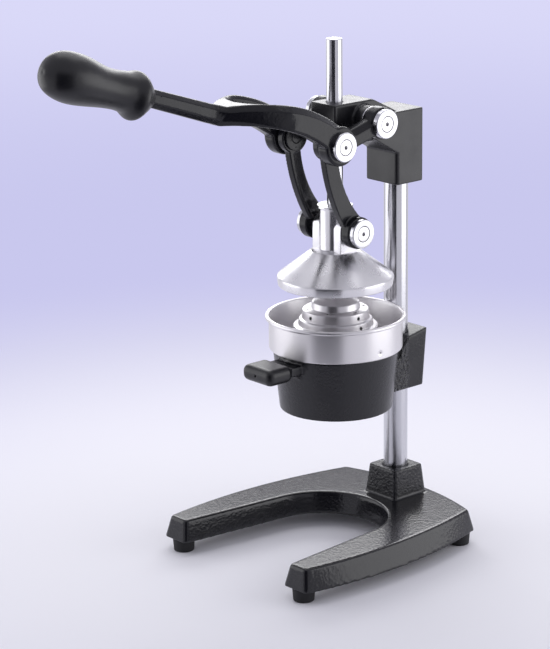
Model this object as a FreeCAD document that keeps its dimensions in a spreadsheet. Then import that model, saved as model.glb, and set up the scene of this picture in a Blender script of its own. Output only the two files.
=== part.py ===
import FreeCAD, Part
import math
import os

import Sketcher
from FreeCAD import Placement, Rotation, Vector

# A lever citrus press. X runs along the pivot pins, the lever points to -Y, the column stands
# behind the press axis, and every height is counted from the worktop that the feet stand on.
# While the pieces are built the press axis is x = y = 0. They are shifted at the end.

doc = FreeCAD.newDocument("lever_citrus_press")

# name, value in mm, what it is
SIZES = [
    ("run_gap", 0.05, "radial clearance of a pin or rod in its bore"),
    ("side_gap", 0.3, "gap between faces that pass each other"),
    ("foot_height", 13, "rubber foot"),
    ("foot_dia", 22, "top of the foot"),
    ("foot_tip_dia", 20, "bottom of the foot"),
    ("front_foot_x", 89, ""),
    ("front_foot_y", 124, "in front of the press axis"),
    ("rear_foot_x", 84, ""),
    ("rear_foot_y", 88, "behind the press axis"),
    ("foot_screw_dia", 5, ""),
    ("foot_screw_head", 9, ""),
    ("base_thickness", 22, "casting from the feet to its top face"),
    ("base_wall", 6, "wall of the hollow casting"),
    ("rib_thick", 5, "stiffening ribs under the base"),
    ("rib_x", 40, "where the ribs beside the socket stand"),
    ("rib_y", 36, "where the cross rib stands, behind the press axis"),
    ("leg_front_x", 100.5, "outer edge at the front of a leg, top face"),
    ("leg_front_y", 131.5, "front of the legs, top face"),
    ("side_bow_x", 108, "widest place of the side, top face"),
    ("side_bow_y", 36, "where that is, in front of the press axis"),
    ("rear_corner_x", 89.5, ""),
    ("rear_corner_y", 95.5, ""),
    ("rear_bow_y", 111, "middle of the back edge"),
    ("leg_inner_x", 77, "inner edge at the front of a leg"),
    ("notch_radius", 65.4, "round end of the opening"),
    ("notch_y", 20, "its centre, in front of the press axis"),
    ("base_draft", 4.5, "how much further out the bottom edge lies"),
    ("side_draft", 8, "the same at the bowed sides"),
    ("socket_half", 22.5, "half width of the column socket at its foot"),
    ("socket_top_half", 19.5, "half width at its top"),
    ("socket_height", 29.5, "above the base"),
    ("column_dia", 24, "chromed tube"),
    ("column_wall", 3, ""),
    ("column_gap", 0.3, "between the column and the rim of the pan"),
    ("head_half_x", 22.5, "clamp block of the head"),
    ("head_front_y", 20, "its front face before the column axis"),
    ("head_rear_y", 16, "its rear face behind the column axis"),
    ("head_bottom", 358.3, "height of its lower face"),
    ("head_height", 72.7, ""),
    ("head_roof", 10, "metal over the column end"),
    ("arm_half_x", 17.4, "arm of the head"),
    ("arm_top", 446.5, "height of its flat top"),
    ("arm_height", 40.5, ""),
    ("arm_front_y", 15.4, "front face before the press axis"),
    ("arm_bend_y", 34, "where the top starts to slope down"),
    ("gusset_y", 36.5, "where the underside starts to slope down"),
    ("gusset_drop", 15, "how far the gusset reaches below the arm"),
    ("bush_dia", 21, "guide bush of the rod, pressed in from below"),
    ("bush_roof", 3, "metal of the arm over the bush"),
    ("rod_room", 0.5, "radial room of the rod in that metal"),
    ("head_pivot_y", 21.4, "axle behind the press axis"),
    ("head_pivot_z", 428.5, "axle height"),
    ("head_boss_dia", 29, "bosses at the sides of the arm"),
    ("head_boss_face", 29, "x of their outer faces"),
    ("washer_thick", 1.5, ""),
    ("crank_reach", 52.9, "lever pivot in front of the head pivot"),
    ("crank_drop", 14.7, "lever pivot below the head pivot"),
    ("crank_height", 17, "bar between the two pivots"),
    ("lever_inner_x", 30.8, "inner face of a lever arm"),
    ("lever_outer_x", 45.3, "outer face of a lever arm"),
    ("lever_boss_dia", 38, "boss at the lever pivot"),
    ("crank_boss_dia", 31, "boss at the head pivot"),
    ("fork_y", 92, "where the fork's arms start to close, before the press axis"),
    ("shaft_width", 18.6, "lever shaft at the fork"),
    ("shaft_end_width", 15.8, "lever shaft in the grip"),
    ("shaft_y", 140, "start of the shaft before the press axis"),
    ("shaft_z", 451.3, "height of the shaft there"),
    ("shaft_length", 150, ""),
    ("grip_start", 88.5, "along the shaft"),
    ("grip_length", 120, ""),
    ("pin_dia", 12, "pivot pins"),
    ("cap_dia", 28, "chromed pivot caps"),
    ("cap_thick", 5, ""),
    ("screw_head_dia", 15, "countersunk cap screws"),
    ("screw_dia", 7, ""),
    ("screw_length", 20, ""),
    ("hex_width", 4.5, "socket of the cap screws across corners"),
    ("link_inner_x", 21, "inner face of a link"),
    ("link_thick", 7.8, "its flange and upper eye"),
    ("link_web", 5, "its web"),
    ("link_rib", 5.5, "depth of its front flange"),
    ("link_eye_dia", 32, "upper eye"),
    ("link_foot_dia", 31, "lower eye"),
    ("link_foot_inner_x", 25.3, "inner face of the lower eye"),
    ("link_foot_x", 35.2, "outer face of the lower eye"),
    ("link_play", 5.6, "radial room in the upper eye, where the linkage is opened"),
    ("press_pivot_z", 323.8, "lower pivot height"),
    ("lug_inner_x", 10, "lugs of the cone"),
    ("lug_outer_x", 20.3, ""),
    ("lug_width", 23, ""),
    ("neck_dia", 31, ""),
    ("neck_top", 346.5, ""),
    ("collar_dia", 35, "collar at the top of the neck"),
    ("collar_height", 1.8, ""),
    ("rod_dia", 15.7, "guide rod"),
    ("rod_top", 507, ""),
    ("rod_seat", 300, "lower end of the rod in the neck"),
    ("shoulder_radius", 23.5, "top of the cone"),
    ("shoulder_z", 302, ""),
    ("cone_radius", 56.8, "widest place"),
    ("cone_rim_z", 274.8, ""),
    ("cone_lip_radius", 55.6, "lower edge"),
    ("cone_lip_z", 267.4, ""),
    ("cone_wall", 4.5, ""),
    ("pan_radius", 65.2, "outside of the pan wall"),
    ("pan_rim_z", 235.8, "centre of the rolled rim"),
    ("pan_bead", 2.1, "radius of the rolled rim"),
    ("sheet", 1.2, "sheet steel of the pan and the dome"),
    ("pan_skirt_depth", 9, "locating skirt inside the pot"),
    ("dome_radius", 41.5, "foot of the strainer dome"),
    ("dome_step_radius", 35.7, "top of its lower step"),
    ("dome_mid_radius", 32.4, "top of its middle step"),
    ("dome_top_radius", 23, "top of its upper step"),
    ("dome_foot_z", 227, "height of the flange round the foot"),
    ("dome_step_z", 233.2, "height of the lower step"),
    ("dome_mid_z", 243, ""),
    ("dome_top_z", 250, ""),
    ("dome_rise", 5, "crown over the top step"),
    ("hole_dia", 3.4, "strainer holes"),
    ("hole_count", 12, "holes in the lower step"),
    ("pot_radius", 61.5, "outside of the pot at its mouth"),
    ("pot_foot_radius", 55.2, ""),
    ("pot_top", 204.4, ""),
    ("pot_bottom", 144.3, ""),
    ("pot_wall", 4, ""),
    ("outlet_dia", 24, "juice outlet"),
    ("clamp_half_x", 21.4, "clamp block of the pot"),
    ("clamp_depth", 18, "column axis to its rear face at the bottom"),
    ("clamp_lean", 5.5, "how much further back the rear face lies at the top"),
    ("clamp_top", 207.5, "its top at the rear"),
    ("clamp_fall", 5, "how much lower the top lies beside the pan"),
    ("scoop_radius", 82, "where the top curves down round the pan"),
    ("clamp_bottom", 149, ""),
    ("tab_half_x", 17, "tab that carries the pot grip"),
    ("tab_thick", 9, ""),
    ("tab_z", 191, "its lower face"),
    ("tab_gusset", 12, "height of the gusset under it"),
    ("knob_front_y", 104, "pot grip"),
    ("knob_rear_y", 73, ""),
    ("knob_half_x", 21, ""),
    ("knob_thick", 16, ""),
    ("knob_screw_dia", 4, "headless screw that holds it"),
    ("set_screw_dia", 8, ""),
]

sizes = doc.addObject("Spreadsheet::Sheet", "sizes")
for row, (alias, number, note) in enumerate(SIZES, start=1):
    sizes.set(f"A{row}", note)
    sizes.set(f"B{row}", str(number))
    sizes.setAlias(f"B{row}", alias)
doc.recompute()


class Size:
    """A number together with the sheet expression that gives it."""

    def __init__(self, value, text):
        self.value = float(value)
        self.text = text

    def __add__(self, other):
        other = as_size(other)
        return Size(self.value + other.value, f"({self.text} + {other.text})")

    def __radd__(self, other):
        return as_size(other) + self

    def __sub__(self, other):
        other = as_size(other)
        return Size(self.value - other.value, f"({self.text} - {other.text})")

    def __mul__(self, factor):
        return Size(self.value * factor, f"({self.text} * {factor})")

    def __neg__(self):
        return Size(-self.value, f"(-1 * {self.text})")


def as_size(number):
    return number if isinstance(number, Size) else Size(number, f"{number}")


def size(alias):
    return Size(sizes.get(alias), f"sizes.{alias}")


def num(alias):
    return size(alias).value


def bind(item, prop, value):
    """Set a property and tie it to the sheet."""
    value = as_size(value)
    setattr(item, prop, value.value)
    item.setExpression(prop, value.text)


def seat(item, x=0, y=0, z=0, turn=None):
    """Place an object, with the position tied to the sheet."""
    spot = [as_size(v) for v in (x, y, z)]
    item.Placement = Placement(Vector(*[v.value for v in spot]), turn or Rotation())
    for axis, value in zip("xyz", spot):
        item.setExpression(f"Placement.Base.{axis}", value.text)
    return item


ALONG_X = Rotation(Vector(0, 1, 0), 90)
ALONG_MINUS_X = Rotation(Vector(0, 1, 0), -90)
ALONG_Y = Rotation(Vector(1, 0, 0), -90)
ALONG_MINUS_Y = Rotation(Vector(1, 0, 0), 90)

nodes = []


def node(item, label):
    """Name a finished sub-part and list it for export."""
    item.Label = label
    nodes.append(item)
    return item


class Piece:
    """A body and the sketches and features that make it."""

    def __init__(self, label):
        self.label = label
        self.body = doc.addObject("PartDesign::Body", label)
        self.count = 0

    def sketch(self, plane, offset=None):
        self.count += 1
        item = self.body.newObject("Sketcher::SketchObject", f"{self.label}_sketch{self.count}")
        origin = self.body.Origin.OriginFeatures
        item.AttachmentSupport = [(next(f for f in origin if f.Role == plane), "")]
        item.MapMode = "FlatFace"
        if offset is not None:
            item.setExpression("AttachmentOffset.Base.z", as_size(offset).text)
        return item

    def outline(self, plane, corners, offset=None):
        """A closed outline. A corner is (x, y), or (x, y, via) for an arc on to the next one."""
        item = self.sketch(plane, offset)
        spots = [Vector(as_size(c[0]).value, as_size(c[1]).value, 0) for c in corners]
        for i, corner in enumerate(corners):
            start, end = spots[i], spots[(i + 1) % len(spots)]
            if len(corner) == 3:
                via = Vector(*[as_size(v).value for v in corner[2]], 0)
                if (via - start).cross(end - via).z < 0:
                    start, end = end, start
                item.addGeometry(Part.Arc(start, via, end))
            else:
                item.addGeometry(Part.LineSegment(start, end))
        ends = [curve_ends(item.Geometry[i], spots[i]) for i in range(len(spots))]
        for i, corner in enumerate(corners):
            fix_point(item, i, ends[i][0], corner)
            after = (i + 1) % len(corners)
            item.addConstraint(coincident(i, ends[i][1], after, ends[after][0]))
            if len(corner) == 3:
                fix_arc(item, i, corner[2])
        return item

    def circle(self, plane, x, y, radius, offset=None):
        item = self.sketch(plane, offset)
        spot = Vector(as_size(x).value, as_size(y).value, 0)
        item.addGeometry(Part.Circle(spot, Vector(0, 0, 1), as_size(radius).value))
        fix_point(item, 0, 3, (x, y))
        constrain(item, "Radius", (0,), radius)
        return item

    def feature(self, kind, profile, length=None, symmetric=False, reverse=False):
        self.count += 1
        item = self.body.newObject(f"PartDesign::{kind}", f"{self.label}_{kind.lower()}{self.count}")
        item.Profile = profile
        if kind in ("Revolution", "Groove"):
            item.ReferenceAxis = (profile, ["V_Axis"])
            item.Angle = 360
        else:
            bind(item, "Length", length)
            item.SideType = "Symmetric" if symmetric else "One side"
            item.Reversed = reverse
        profile.Visibility = False
        return item

    def pad(self, profile, length, **options):
        return self.feature("Pad", profile, length, **options)

    def pocket(self, profile, length, **options):
        return self.feature("Pocket", profile, length, **options)

    def revolve(self, corners):
        return self.feature("Revolution", self.outline("XZ_Plane", corners))

    def groove(self, corners):
        return self.feature("Groove", self.outline("XZ_Plane", corners))

    def bore(self, plane, x, y, radius, offset, length):
        """Cut a round hole that starts at the offset plane and runs along its normal."""
        return self.pocket(self.circle(plane, x, y, radius, offset), length, reverse=True)

    def ring(self, feature, count):
        """Repeat the last cut evenly round the upright axis."""
        self.count += 1
        item = self.body.newObject("PartDesign::PolarPattern", f"{self.label}_ring{self.count}")
        item.Originals = [feature]
        origin = self.body.Origin.OriginFeatures
        item.Axis = (next(f for f in origin if f.Role == "Z_Axis"), [""])
        item.Angle = 360
        item.Occurrences = count
        self.body.Tip = item
        return item

    def dress(self, kind, amount, wanted):
        """Round or bevel the edges of the tip that the test picks."""
        doc.recompute()
        base = self.body.Tip
        picked = [f"Edge{i + 1}" for i, edge in enumerate(base.Shape.Edges) if wanted(edge)]
        if not picked:
            raise RuntimeError(f"{self.label}: no edge to dress")
        self.count += 1
        item = self.body.newObject(f"PartDesign::{kind}", f"{self.label}_{kind.lower()}{self.count}")
        item.Base = (base, picked)
        bind(item, "Radius" if kind == "Fillet" else "Size", amount)
        base.Visibility = False
        return item


def curve_ends(curve, start):
    """Sketcher's numbers for the start and the end of a line or an arc."""
    near_first = (curve.StartPoint - start).Length < (curve.EndPoint - start).Length
    return (1, 2) if near_first else (2, 1)


def coincident(a, a_end, b, b_end):
    return Sketcher.Constraint("Coincident", a, a_end, b, b_end)


def constrain(sketch, kind, where, value):
    value = as_size(value)
    index = sketch.addConstraint(Sketcher.Constraint(kind, *where, value.value))
    sketch.setExpression(f"Constraints[{index}]", value.text)


def fix_point(sketch, curve, end, corner):
    """Tie a point's two coordinates, counted from the sketch's origin."""
    for kind, value in (("DistanceX", corner[0]), ("DistanceY", corner[1])):
        value = as_size(value)
        if abs(value.value) < 1e-9:
            line = -2 if kind == "DistanceX" else -1
            sketch.addConstraint(Sketcher.Constraint("PointOnObject", curve, end, line))
        else:
            constrain(sketch, kind, (-1, 1, curve, end), value)


def fix_arc(sketch, curve, via):
    """Keep an arc on the point that it passes."""
    spot = Vector(as_size(via[0]).value, as_size(via[1]).value, 0)
    point = sketch.addGeometry(Part.Point(spot), True)
    fix_point(sketch, point, 1, via)
    sketch.addConstraint(Sketcher.Constraint("PointOnObject", point, 1, curve))


def group(label, items):
    """Several separate solids that share one node."""
    item = doc.addObject("Part::Compound", label)
    item.Links = items
    return node(item, label)


def mirror(item, label):
    """The same piece on the other side of the press, x turned to -x."""
    other = doc.addObject("Part::Mirroring", label)
    other.Source = item
    other.Normal = Vector(1, 0, 0)
    return other


def turned(label, corners, **spot):
    """A turned piece: corners are (radius, height) along its own axis."""
    piece = Piece(label)
    piece.revolve(corners)
    seat(piece.body, **spot)
    return piece.body


def hexagon(width):
    """Corners of a hexagon, given its width across corners."""
    turns = [(1, 0), (0.5, 0.866), (-0.5, 0.866), (-1, 0), (-0.5, -0.866), (0.5, -0.866)]
    return [(width * (0.5 * x), width * (0.5 * y)) for x, y in turns]


def solid_feature(label, shape):
    """A piece whose shape is worked out from the sheet's values."""
    item = doc.addObject("Part::Feature", label)
    item.Shape = shape
    return node(item, label)


rim_radius = size("pan_radius") + size("pan_bead") * 2 - size("sheet") * 0.5
column_y = rim_radius + size("column_gap") + size("column_dia") * 0.5
clamp_rear = column_y + size("clamp_depth")

# Feet and base

base_top = size("foot_height") + size("base_thickness")
FEET = {
    "foot_front_right": (size("front_foot_x"), -size("front_foot_y")),
    "foot_front_left": (-size("front_foot_x"), -size("front_foot_y")),
    "foot_rear_right": (size("rear_foot_x"), size("rear_foot_y")),
    "foot_rear_left": (-size("rear_foot_x"), size("rear_foot_y")),
}


def make_feet():
    screw_r = size("foot_screw_dia") * 0.5
    head_r = size("foot_screw_head") * 0.5
    gap = size("run_gap")
    height = size("foot_height")
    recess = 4
    screws = []
    for label, (x, y) in FEET.items():
        foot = turned(label, [
            (screw_r + gap, recess),
            (head_r + 0.5, recess),
            (head_r + 0.5, 0),
            (size("foot_tip_dia") * 0.5, 0),
            (size("foot_dia") * 0.5, height),
            (screw_r + gap, height),
        ], x=x, y=y)
        node(foot, label)
        screws.append(turned(f"{label}_screw", [
            (0, recess - 3),
            (head_r, recess - 3),
            (head_r, recess),
            (screw_r, recess),
            (screw_r, height + 9),
            (0, height + 9),
        ], x=x, y=y))
    group("foot_screws", screws)


def base_wire(z, grow, side_grow):
    """Plan outline of the base at one height, moved outward by grow."""
    front = -(num("leg_front_y") + grow)
    inner = num("leg_inner_x") - grow
    radius = num("notch_radius") - grow
    centre = -num("notch_y")
    outer = Vector(num("leg_front_x") + grow, front, z)
    bow = Vector(num("side_bow_x") + side_grow, -num("side_bow_y"), z)
    rear = Vector(num("rear_corner_x") + grow, num("rear_corner_y") + grow, z)
    back = Vector(0, num("rear_bow_y") + grow, z)
    leg = Vector(inner, front, z)
    reach = math.hypot(inner, front - centre)
    touch = math.atan2(front - centre, inner) + math.acos(radius / reach)
    notch = Vector(radius * math.cos(touch), centre + radius * math.sin(touch), z)
    notch_end = Vector(0, centre + radius, z)

    def other(spot):
        return Vector(-spot.x, spot.y, spot.z)

    edges = [
        Part.Arc(outer, bow, rear),
        Part.Arc(rear, back, other(rear)),
        Part.Arc(other(rear), other(bow), other(outer)),
        Part.LineSegment(other(outer), other(leg)),
        Part.LineSegment(other(leg), other(notch)),
        Part.Arc(other(notch), notch_end, notch),
        Part.LineSegment(notch, leg),
        Part.LineSegment(leg, outer),
    ]
    return Part.Wire([edge.toShape() for edge in edges])


def square_wire(half, y, z):
    spots = [Vector(half * a, y + half * b, z) for a, b in ((-1, -1), (1, -1), (1, 1), (-1, 1))]
    return Part.makePolygon(spots + spots[:1])


def is_upright(edge):
    spots = [v.Point for v in edge.Vertexes]
    return len(spots) == 2 and abs(spots[0].z - spots[1].z) > 0.8 * (spots[0] - spots[1]).Length


def make_base():
    low = num("foot_height")
    top = base_top.value
    wall = num("base_wall")
    draft, side = num("base_draft"), num("side_draft")
    socket_y = column_y.value
    bore = num("column_dia") / 2 + num("run_gap")

    outer = Part.makeLoft([base_wire(low, draft, side), base_wire(top, 0, 0)], True, True)
    corners = [e for e in outer.Edges if is_upright(e) and abs(e.Vertexes[0].Point.x) > num("notch_radius") + 1]
    outer = outer.makeFillet(5, corners)
    rim = [e for e in outer.Edges if e.BoundBox.ZMin > top - 0.01]
    outer = outer.makeFillet(3, rim)

    cavity = Part.makeLoft([
        base_wire(low - 1, draft - wall, side - wall),
        base_wire(top - wall, -wall, -wall),
    ], True, True)
    posts = [
        Part.makeCylinder(num("foot_dia") / 2 + 1, top - low, Vector(x.value, y.value, low))
        for x, y in FEET.values()
    ]
    half = num("socket_half")
    posts.append(Part.makeBox(2 * half, 2 * half, top - low, Vector(-half, socket_y - half, low)))
    rib = num("rib_thick")
    reach = num("side_bow_x") + side
    posts.append(Part.makeBox(2 * reach, rib, top - low, Vector(-reach, num("rib_y"), low)))
    for x in (-num("rib_x") - rib, num("rib_x")):
        posts.append(Part.makeBox(rib, num("rear_bow_y"), top - low, Vector(x, 0, low)))
    cavity = cavity.cut(Part.makeCompound(posts))

    socket_top = top + num("socket_height")
    socket = Part.makeLoft([
        square_wire(half, socket_y, top - 2),
        square_wire(num("socket_top_half"), socket_y, socket_top),
    ], True, True)
    socket = socket.makeFillet(4, [e for e in socket.Edges if is_upright(e)])
    body = outer.cut(cavity).fuse(socket)

    floor = low + 4
    holes = [Part.makeCylinder(bore, socket_top - floor + 1, Vector(0, socket_y, floor))]
    holes.append(Part.makeCone(bore, bore + 2, 2, Vector(0, socket_y, socket_top - 2)))
    screw = num("foot_screw_dia") / 2 + num("run_gap")
    holes += [
        Part.makeCylinder(screw, 10, Vector(x.value, y.value, low)) for x, y in FEET.values()
    ]
    set_r = num("set_screw_dia") / 2 + num("run_gap")
    rear = socket_y + half + 1
    height = set_screw_heights()[0].value
    holes.append(Part.makeCylinder(set_r, half + 1, Vector(0, rear, height), Vector(0, -1, 0)))
    solid_feature("base_casting", body.cut(Part.makeCompound(holes)).removeSplitter())


# Column and its set screws


def set_screw_heights():
    """Heights of the set screws in the base socket, the pot clamp and the head."""
    return (
        base_top + size("socket_height") * 0.5,
        (size("clamp_top") + size("clamp_bottom")) * 0.5,
        size("head_bottom") + size("head_height") * 0.3,
        size("head_bottom") + size("head_height") * 0.65,
    )


def make_column():
    outer = size("column_dia") * 0.5
    inner = outer - size("column_wall")
    low = size("foot_height") + 4
    top = size("head_bottom") + size("head_height") - size("head_roof")
    column = turned("column", [
        (inner, low),
        (outer - 1, low),
        (outer, low + 1),
        (outer, top - 1),
        (outer - 1, top),
        (inner, top),
    ], y=column_y)
    node(column, "column")


def set_screw(label, height, face):
    """A hexagon socket set screw from the rear of the column to just below a rear face."""
    start = column_y + size("column_dia") * 0.5 + size("run_gap")
    length = face - start - 0.4
    radius = size("set_screw_dia") * 0.5
    piece = Piece(label)
    piece.revolve([(0, 0), (radius - 1, 0), (radius, 1), (radius, length), (0, length)])
    piece.pocket(piece.outline("XY_Plane", hexagon(size("hex_width")), length), length * 0.6)
    return seat(piece.body, 0, start, height, ALONG_Y)


def make_set_screws():
    base, pot, low, high = set_screw_heights()
    base_face = column_y + (size("socket_half") + size("socket_top_half")) * 0.5
    pot_face = clamp_rear + size("clamp_lean") * 0.5
    head_face = column_y + size("head_rear_y")
    node(set_screw("base_set_screw", base, base_face), "base_set_screw")
    node(set_screw("pot_set_screw", pot, pot_face), "pot_set_screw")
    group("head_set_screws", [
        set_screw("head_screw_low", low, head_face),
        set_screw("head_screw_high", high, head_face),
    ])


# Head


def make_head():
    piece = Piece("head_casting")
    half_x = size("head_half_x")
    front, rear = column_y - size("head_front_y"), column_y + size("head_rear_y")
    bottom = size("head_bottom")
    top = bottom + size("head_height")
    arm_top = size("arm_top")
    arm_low = arm_top - size("arm_height")
    piece.pad(piece.outline("YZ_Plane", [
        (-size("arm_front_y"), arm_low),
        (-size("arm_front_y"), arm_top),
        (size("arm_bend_y"), arm_top),
        (front + 4, top),
        (front + 4, arm_low - size("gusset_drop")),
        (front, arm_low - size("gusset_drop")),
        (size("gusset_y"), arm_low),
    ]), size("arm_half_x") * 2, symmetric=True)
    piece.dress("Fillet", 2, is_arm_edge)
    piece.pad(piece.outline("XY_Plane", [
        (-half_x, front), (half_x, front), (half_x, rear), (-half_x, rear),
    ], bottom), size("head_height"))
    piece.dress("Fillet", 3.5, is_block_edge)
    wedge_y = size("gusset_y") - 3.5
    piece.pad(piece.outline("YZ_Plane", [
        (front + 4, arm_low - size("gusset_drop")),
        (front, arm_low - size("gusset_drop")),
        (wedge_y, arm_low + 1.5),
        (wedge_y, size("head_pivot_z")),
        (front + 4, top),
    ]), half_x * 2, symmetric=True)
    piece.pad(piece.circle("YZ_Plane", size("head_pivot_y"), size("head_pivot_z"),
                           size("head_boss_dia") * 0.5), size("head_boss_face") * 2, symmetric=True)
    gap = size("run_gap")
    piece.bore("XY_Plane", 0, 0, size("bush_dia") * 0.5 + gap, arm_low - 1,
               size("arm_height") - size("bush_roof") + 1)
    piece.bore("XY_Plane", 0, 0, size("rod_dia") * 0.5 + size("rod_room"), arm_low,
               size("arm_height") + 1)
    piece.bore("XY_Plane", 0, column_y, size("column_dia") * 0.5 + gap, bottom - 1,
               size("head_height") - size("head_roof") + 1)
    axle = piece.circle("YZ_Plane", size("head_pivot_y"), size("head_pivot_z"),
                        size("pin_dia") * 0.5 + gap)
    piece.pocket(axle, size("head_boss_face") * 2 + 2, symmetric=True)
    for height in set_screw_heights()[2:]:
        piece.bore("XZ_Plane", 0, height, size("set_screw_dia") * 0.5 + gap, -(rear + 1),
                   size("head_rear_y"))
    node(piece.body, "head_casting")


def is_arm_edge(edge):
    """The edges round the two sides of the head's arm, and its front corners."""
    box = edge.BoundBox
    return box.XLength < 0.01 and box.YMax < column_y.value - num("head_front_y") + 0.01


def is_block_edge(edge):
    """The four upright corners of the clamp block."""
    box = edge.BoundBox
    return is_upright(edge) and abs(abs(box.Center.x) - num("head_half_x")) < 0.01


def make_bush():
    low = size("arm_top") - size("arm_height")
    outer = size("bush_dia") * 0.5
    inner = size("rod_dia") * 0.5 + size("run_gap")
    top = size("arm_top") - size("bush_roof")
    bush = turned("rod_bush", [(inner, low), (outer, low), (outer, top), (inner, top)])
    node(bush, "rod_bush")


# Pot, its grip and the strainer


def make_pot():
    piece = Piece("pot_casting")
    rear = clamp_rear
    half_x = size("clamp_half_x")
    low, high = size("pot_bottom"), size("pot_top")
    mouth, foot = size("pot_radius"), size("pot_foot_radius")
    wall = size("pot_wall")
    outlet = size("outlet_dia") * 0.5
    floor = low + 12
    front = foot - 10
    clamp_low, clamp_high = size("clamp_bottom"), size("clamp_top")
    shelf = clamp_high - size("clamp_fall")
    scoop = size("scoop_radius")
    piece.pad(piece.outline("YZ_Plane", [
        (front, clamp_low), (rear, clamp_low), (rear + size("clamp_lean"), clamp_high),
        (scoop - 3, shelf), (front, shelf),
    ]), half_x * 2, symmetric=True)
    piece.dress("Fillet", 2.5, lambda e: is_upright(e) and e.BoundBox.YMin > rear.value - 1)
    piece.groove([
        (foot, shelf - 20),
        (scoop - 12.5, shelf - 20),
        (scoop - 9.5, shelf - 12),
        (scoop - 5.5, shelf - 5),
        (scoop, shelf),
        (scoop, shelf + 3),
        (foot, shelf + 3),
    ])
    tab_x = size("tab_half_x")
    piece.pad(piece.outline("YZ_Plane", [
        (-foot - 12, size("tab_z") + 2), (-foot + 4, size("tab_z") - size("tab_gusset")),
        (-foot + 8, size("tab_z") + 2),
    ]), tab_x * 2 - 6, symmetric=True)
    piece.pad(piece.outline("XY_Plane", [
        (-tab_x, -size("knob_rear_y")), (tab_x, -size("knob_rear_y")),
        (tab_x, -foot + 8), (-tab_x, -foot + 8),
    ], size("tab_z")), size("tab_thick"))
    piece.revolve([(0, low), (foot, low), (mouth, high), (0, high)])
    piece.groove([
        (outlet + wall, low - 1),
        (foot - wall, low - 1),
        (foot - wall, floor + 5),
        (outlet + wall, floor - 5),
    ])
    piece.groove([
        (0, low - 2),
        (outlet, low - 2),
        (outlet, floor),
        (foot - wall, floor + 10),
        (mouth - wall, high),
        (size("pan_radius") + 0.5, high),
        (size("pan_radius") + 0.5, high + 6),
        (0, high + 6),
    ])
    gap = size("run_gap")
    piece.bore("XY_Plane", 0, column_y, size("column_dia") * 0.5 + gap, clamp_low - 1,
               clamp_high - clamp_low + 2)
    height = set_screw_heights()[1]
    piece.bore("XZ_Plane", 0, height, size("set_screw_dia") * 0.5 + gap,
               -(rear + size("clamp_lean") + 1), rear + size("clamp_lean") - column_y)
    piece.bore("XZ_Plane", 0, size("tab_z") + size("tab_thick") * 0.5,
               size("knob_screw_dia") * 0.5 + gap, mouth + 1, size("knob_front_y") - mouth)
    node(piece.body, "pot_casting")


def make_knob():
    """The plastic grip in front of the pot and the screw that holds it."""
    piece = Piece("pot_grip")
    half_x = size("knob_half_x")
    front, rear = -size("knob_front_y"), -size("knob_rear_y")
    middle = size("tab_z") + size("tab_thick") * 0.5
    thick = size("knob_thick")
    piece.pad(piece.outline("XY_Plane", [
        (-half_x, front + 1.5, (0, front)),
        (half_x, front + 1.5),
        (half_x, rear),
        (-half_x, rear),
    ], middle - thick * 0.5), thick)
    piece.dress("Fillet", 5, is_upright)
    piece.dress("Fillet", 3.5, lambda e: e.BoundBox.ZLength < 0.01)
    radius = size("knob_screw_dia") * 0.5
    piece.bore("XZ_Plane", 0, middle, radius + size("run_gap"), size("knob_rear_y") - 1,
               size("knob_front_y") - size("knob_rear_y") + 2)
    node(piece.body, "pot_grip")
    length = size("knob_front_y") - size("pot_radius") - 4.5
    screw = Piece("pot_grip_screw")
    screw.revolve([(0, 0), (radius, 0), (radius, length - 0.5), (radius - 0.5, length), (0, length)])
    screw.pocket(screw.outline("XY_Plane", hexagon(size("hex_width") * 0.5), length), 2)
    seat(screw.body, y=-(size("pot_radius") + 1.5), z=middle, turn=ALONG_MINUS_Y)
    node(screw.body, "pot_grip_screw")


def make_pan():
    piece = Piece("strainer_pan")
    outer = size("pan_radius")
    sheet = size("sheet")
    bottom = size("pot_top") + size("side_gap")
    rim = size("pan_rim_z")
    skirt = size("pot_radius") - size("pot_wall") - 2.2
    deep = bottom - size("pan_skirt_depth")
    inner = size("dome_radius") - 3
    piece.revolve([
        (outer, bottom), (outer, rim), (outer - sheet, rim), (outer - sheet, bottom + sheet),
        (inner, bottom + sheet), (inner, bottom),
    ])
    bead = piece.circle("XZ_Plane", rim_radius - size("pan_bead"), rim, size("pan_bead"))
    piece.feature("Revolution", bead)
    node(piece.body, "strainer_pan")
    ring = turned("pan_skirt", [
        (skirt - sheet, deep), (skirt, deep), (skirt, bottom), (skirt - sheet, bottom),
    ])
    node(ring, "pan_skirt")


def make_dome():
    piece = Piece("strainer_dome")
    sheet = size("sheet")
    foot = size("pot_top") + size("side_gap") + sheet
    low, low_z = size("dome_radius"), size("dome_foot_z")
    step, step_z = size("dome_step_radius"), size("dome_step_z")
    mid, mid_z = size("dome_mid_radius"), size("dome_mid_z")
    top, top_z = size("dome_top_radius"), size("dome_top_z")
    crown = top_z + size("dome_rise")
    outside = [
        (low, foot), (low, low_z - 1), (low - 1, low_z), (step + 1.2, low_z + 1), (step, step_z),
        (mid + 1, step_z + 1.4), (mid, mid_z), (top + 1.2, mid_z + 1), (top, top_z),
    ]
    inside = [(radius - sheet, height - sheet) for radius, height in reversed(outside[1:])]
    piece.revolve(outside + [(0, crown), (0, crown - sheet)] + inside + [(low - sheet, foot)])
    side_hole = size("hole_dia") * 0.5
    cut = piece.bore("YZ_Plane", 0, low_z + 2.6, side_hole, step - 3, 6)
    piece.ring(cut, int(num("hole_count")))
    cut = piece.bore("YZ_Plane", 0, (step_z + mid_z) * 0.5 + 0.5, side_hole, mid - 3, 6)
    piece.ring(cut, int(num("hole_count") / 3))
    cut = piece.bore("XY_Plane", (mid + top) * 0.5, 0, side_hole, mid_z - 4, 8)
    piece.ring(cut, int(num("hole_count") / 2))
    node(piece.body, "strainer_dome")


# Press cone, its rod and the links


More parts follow.
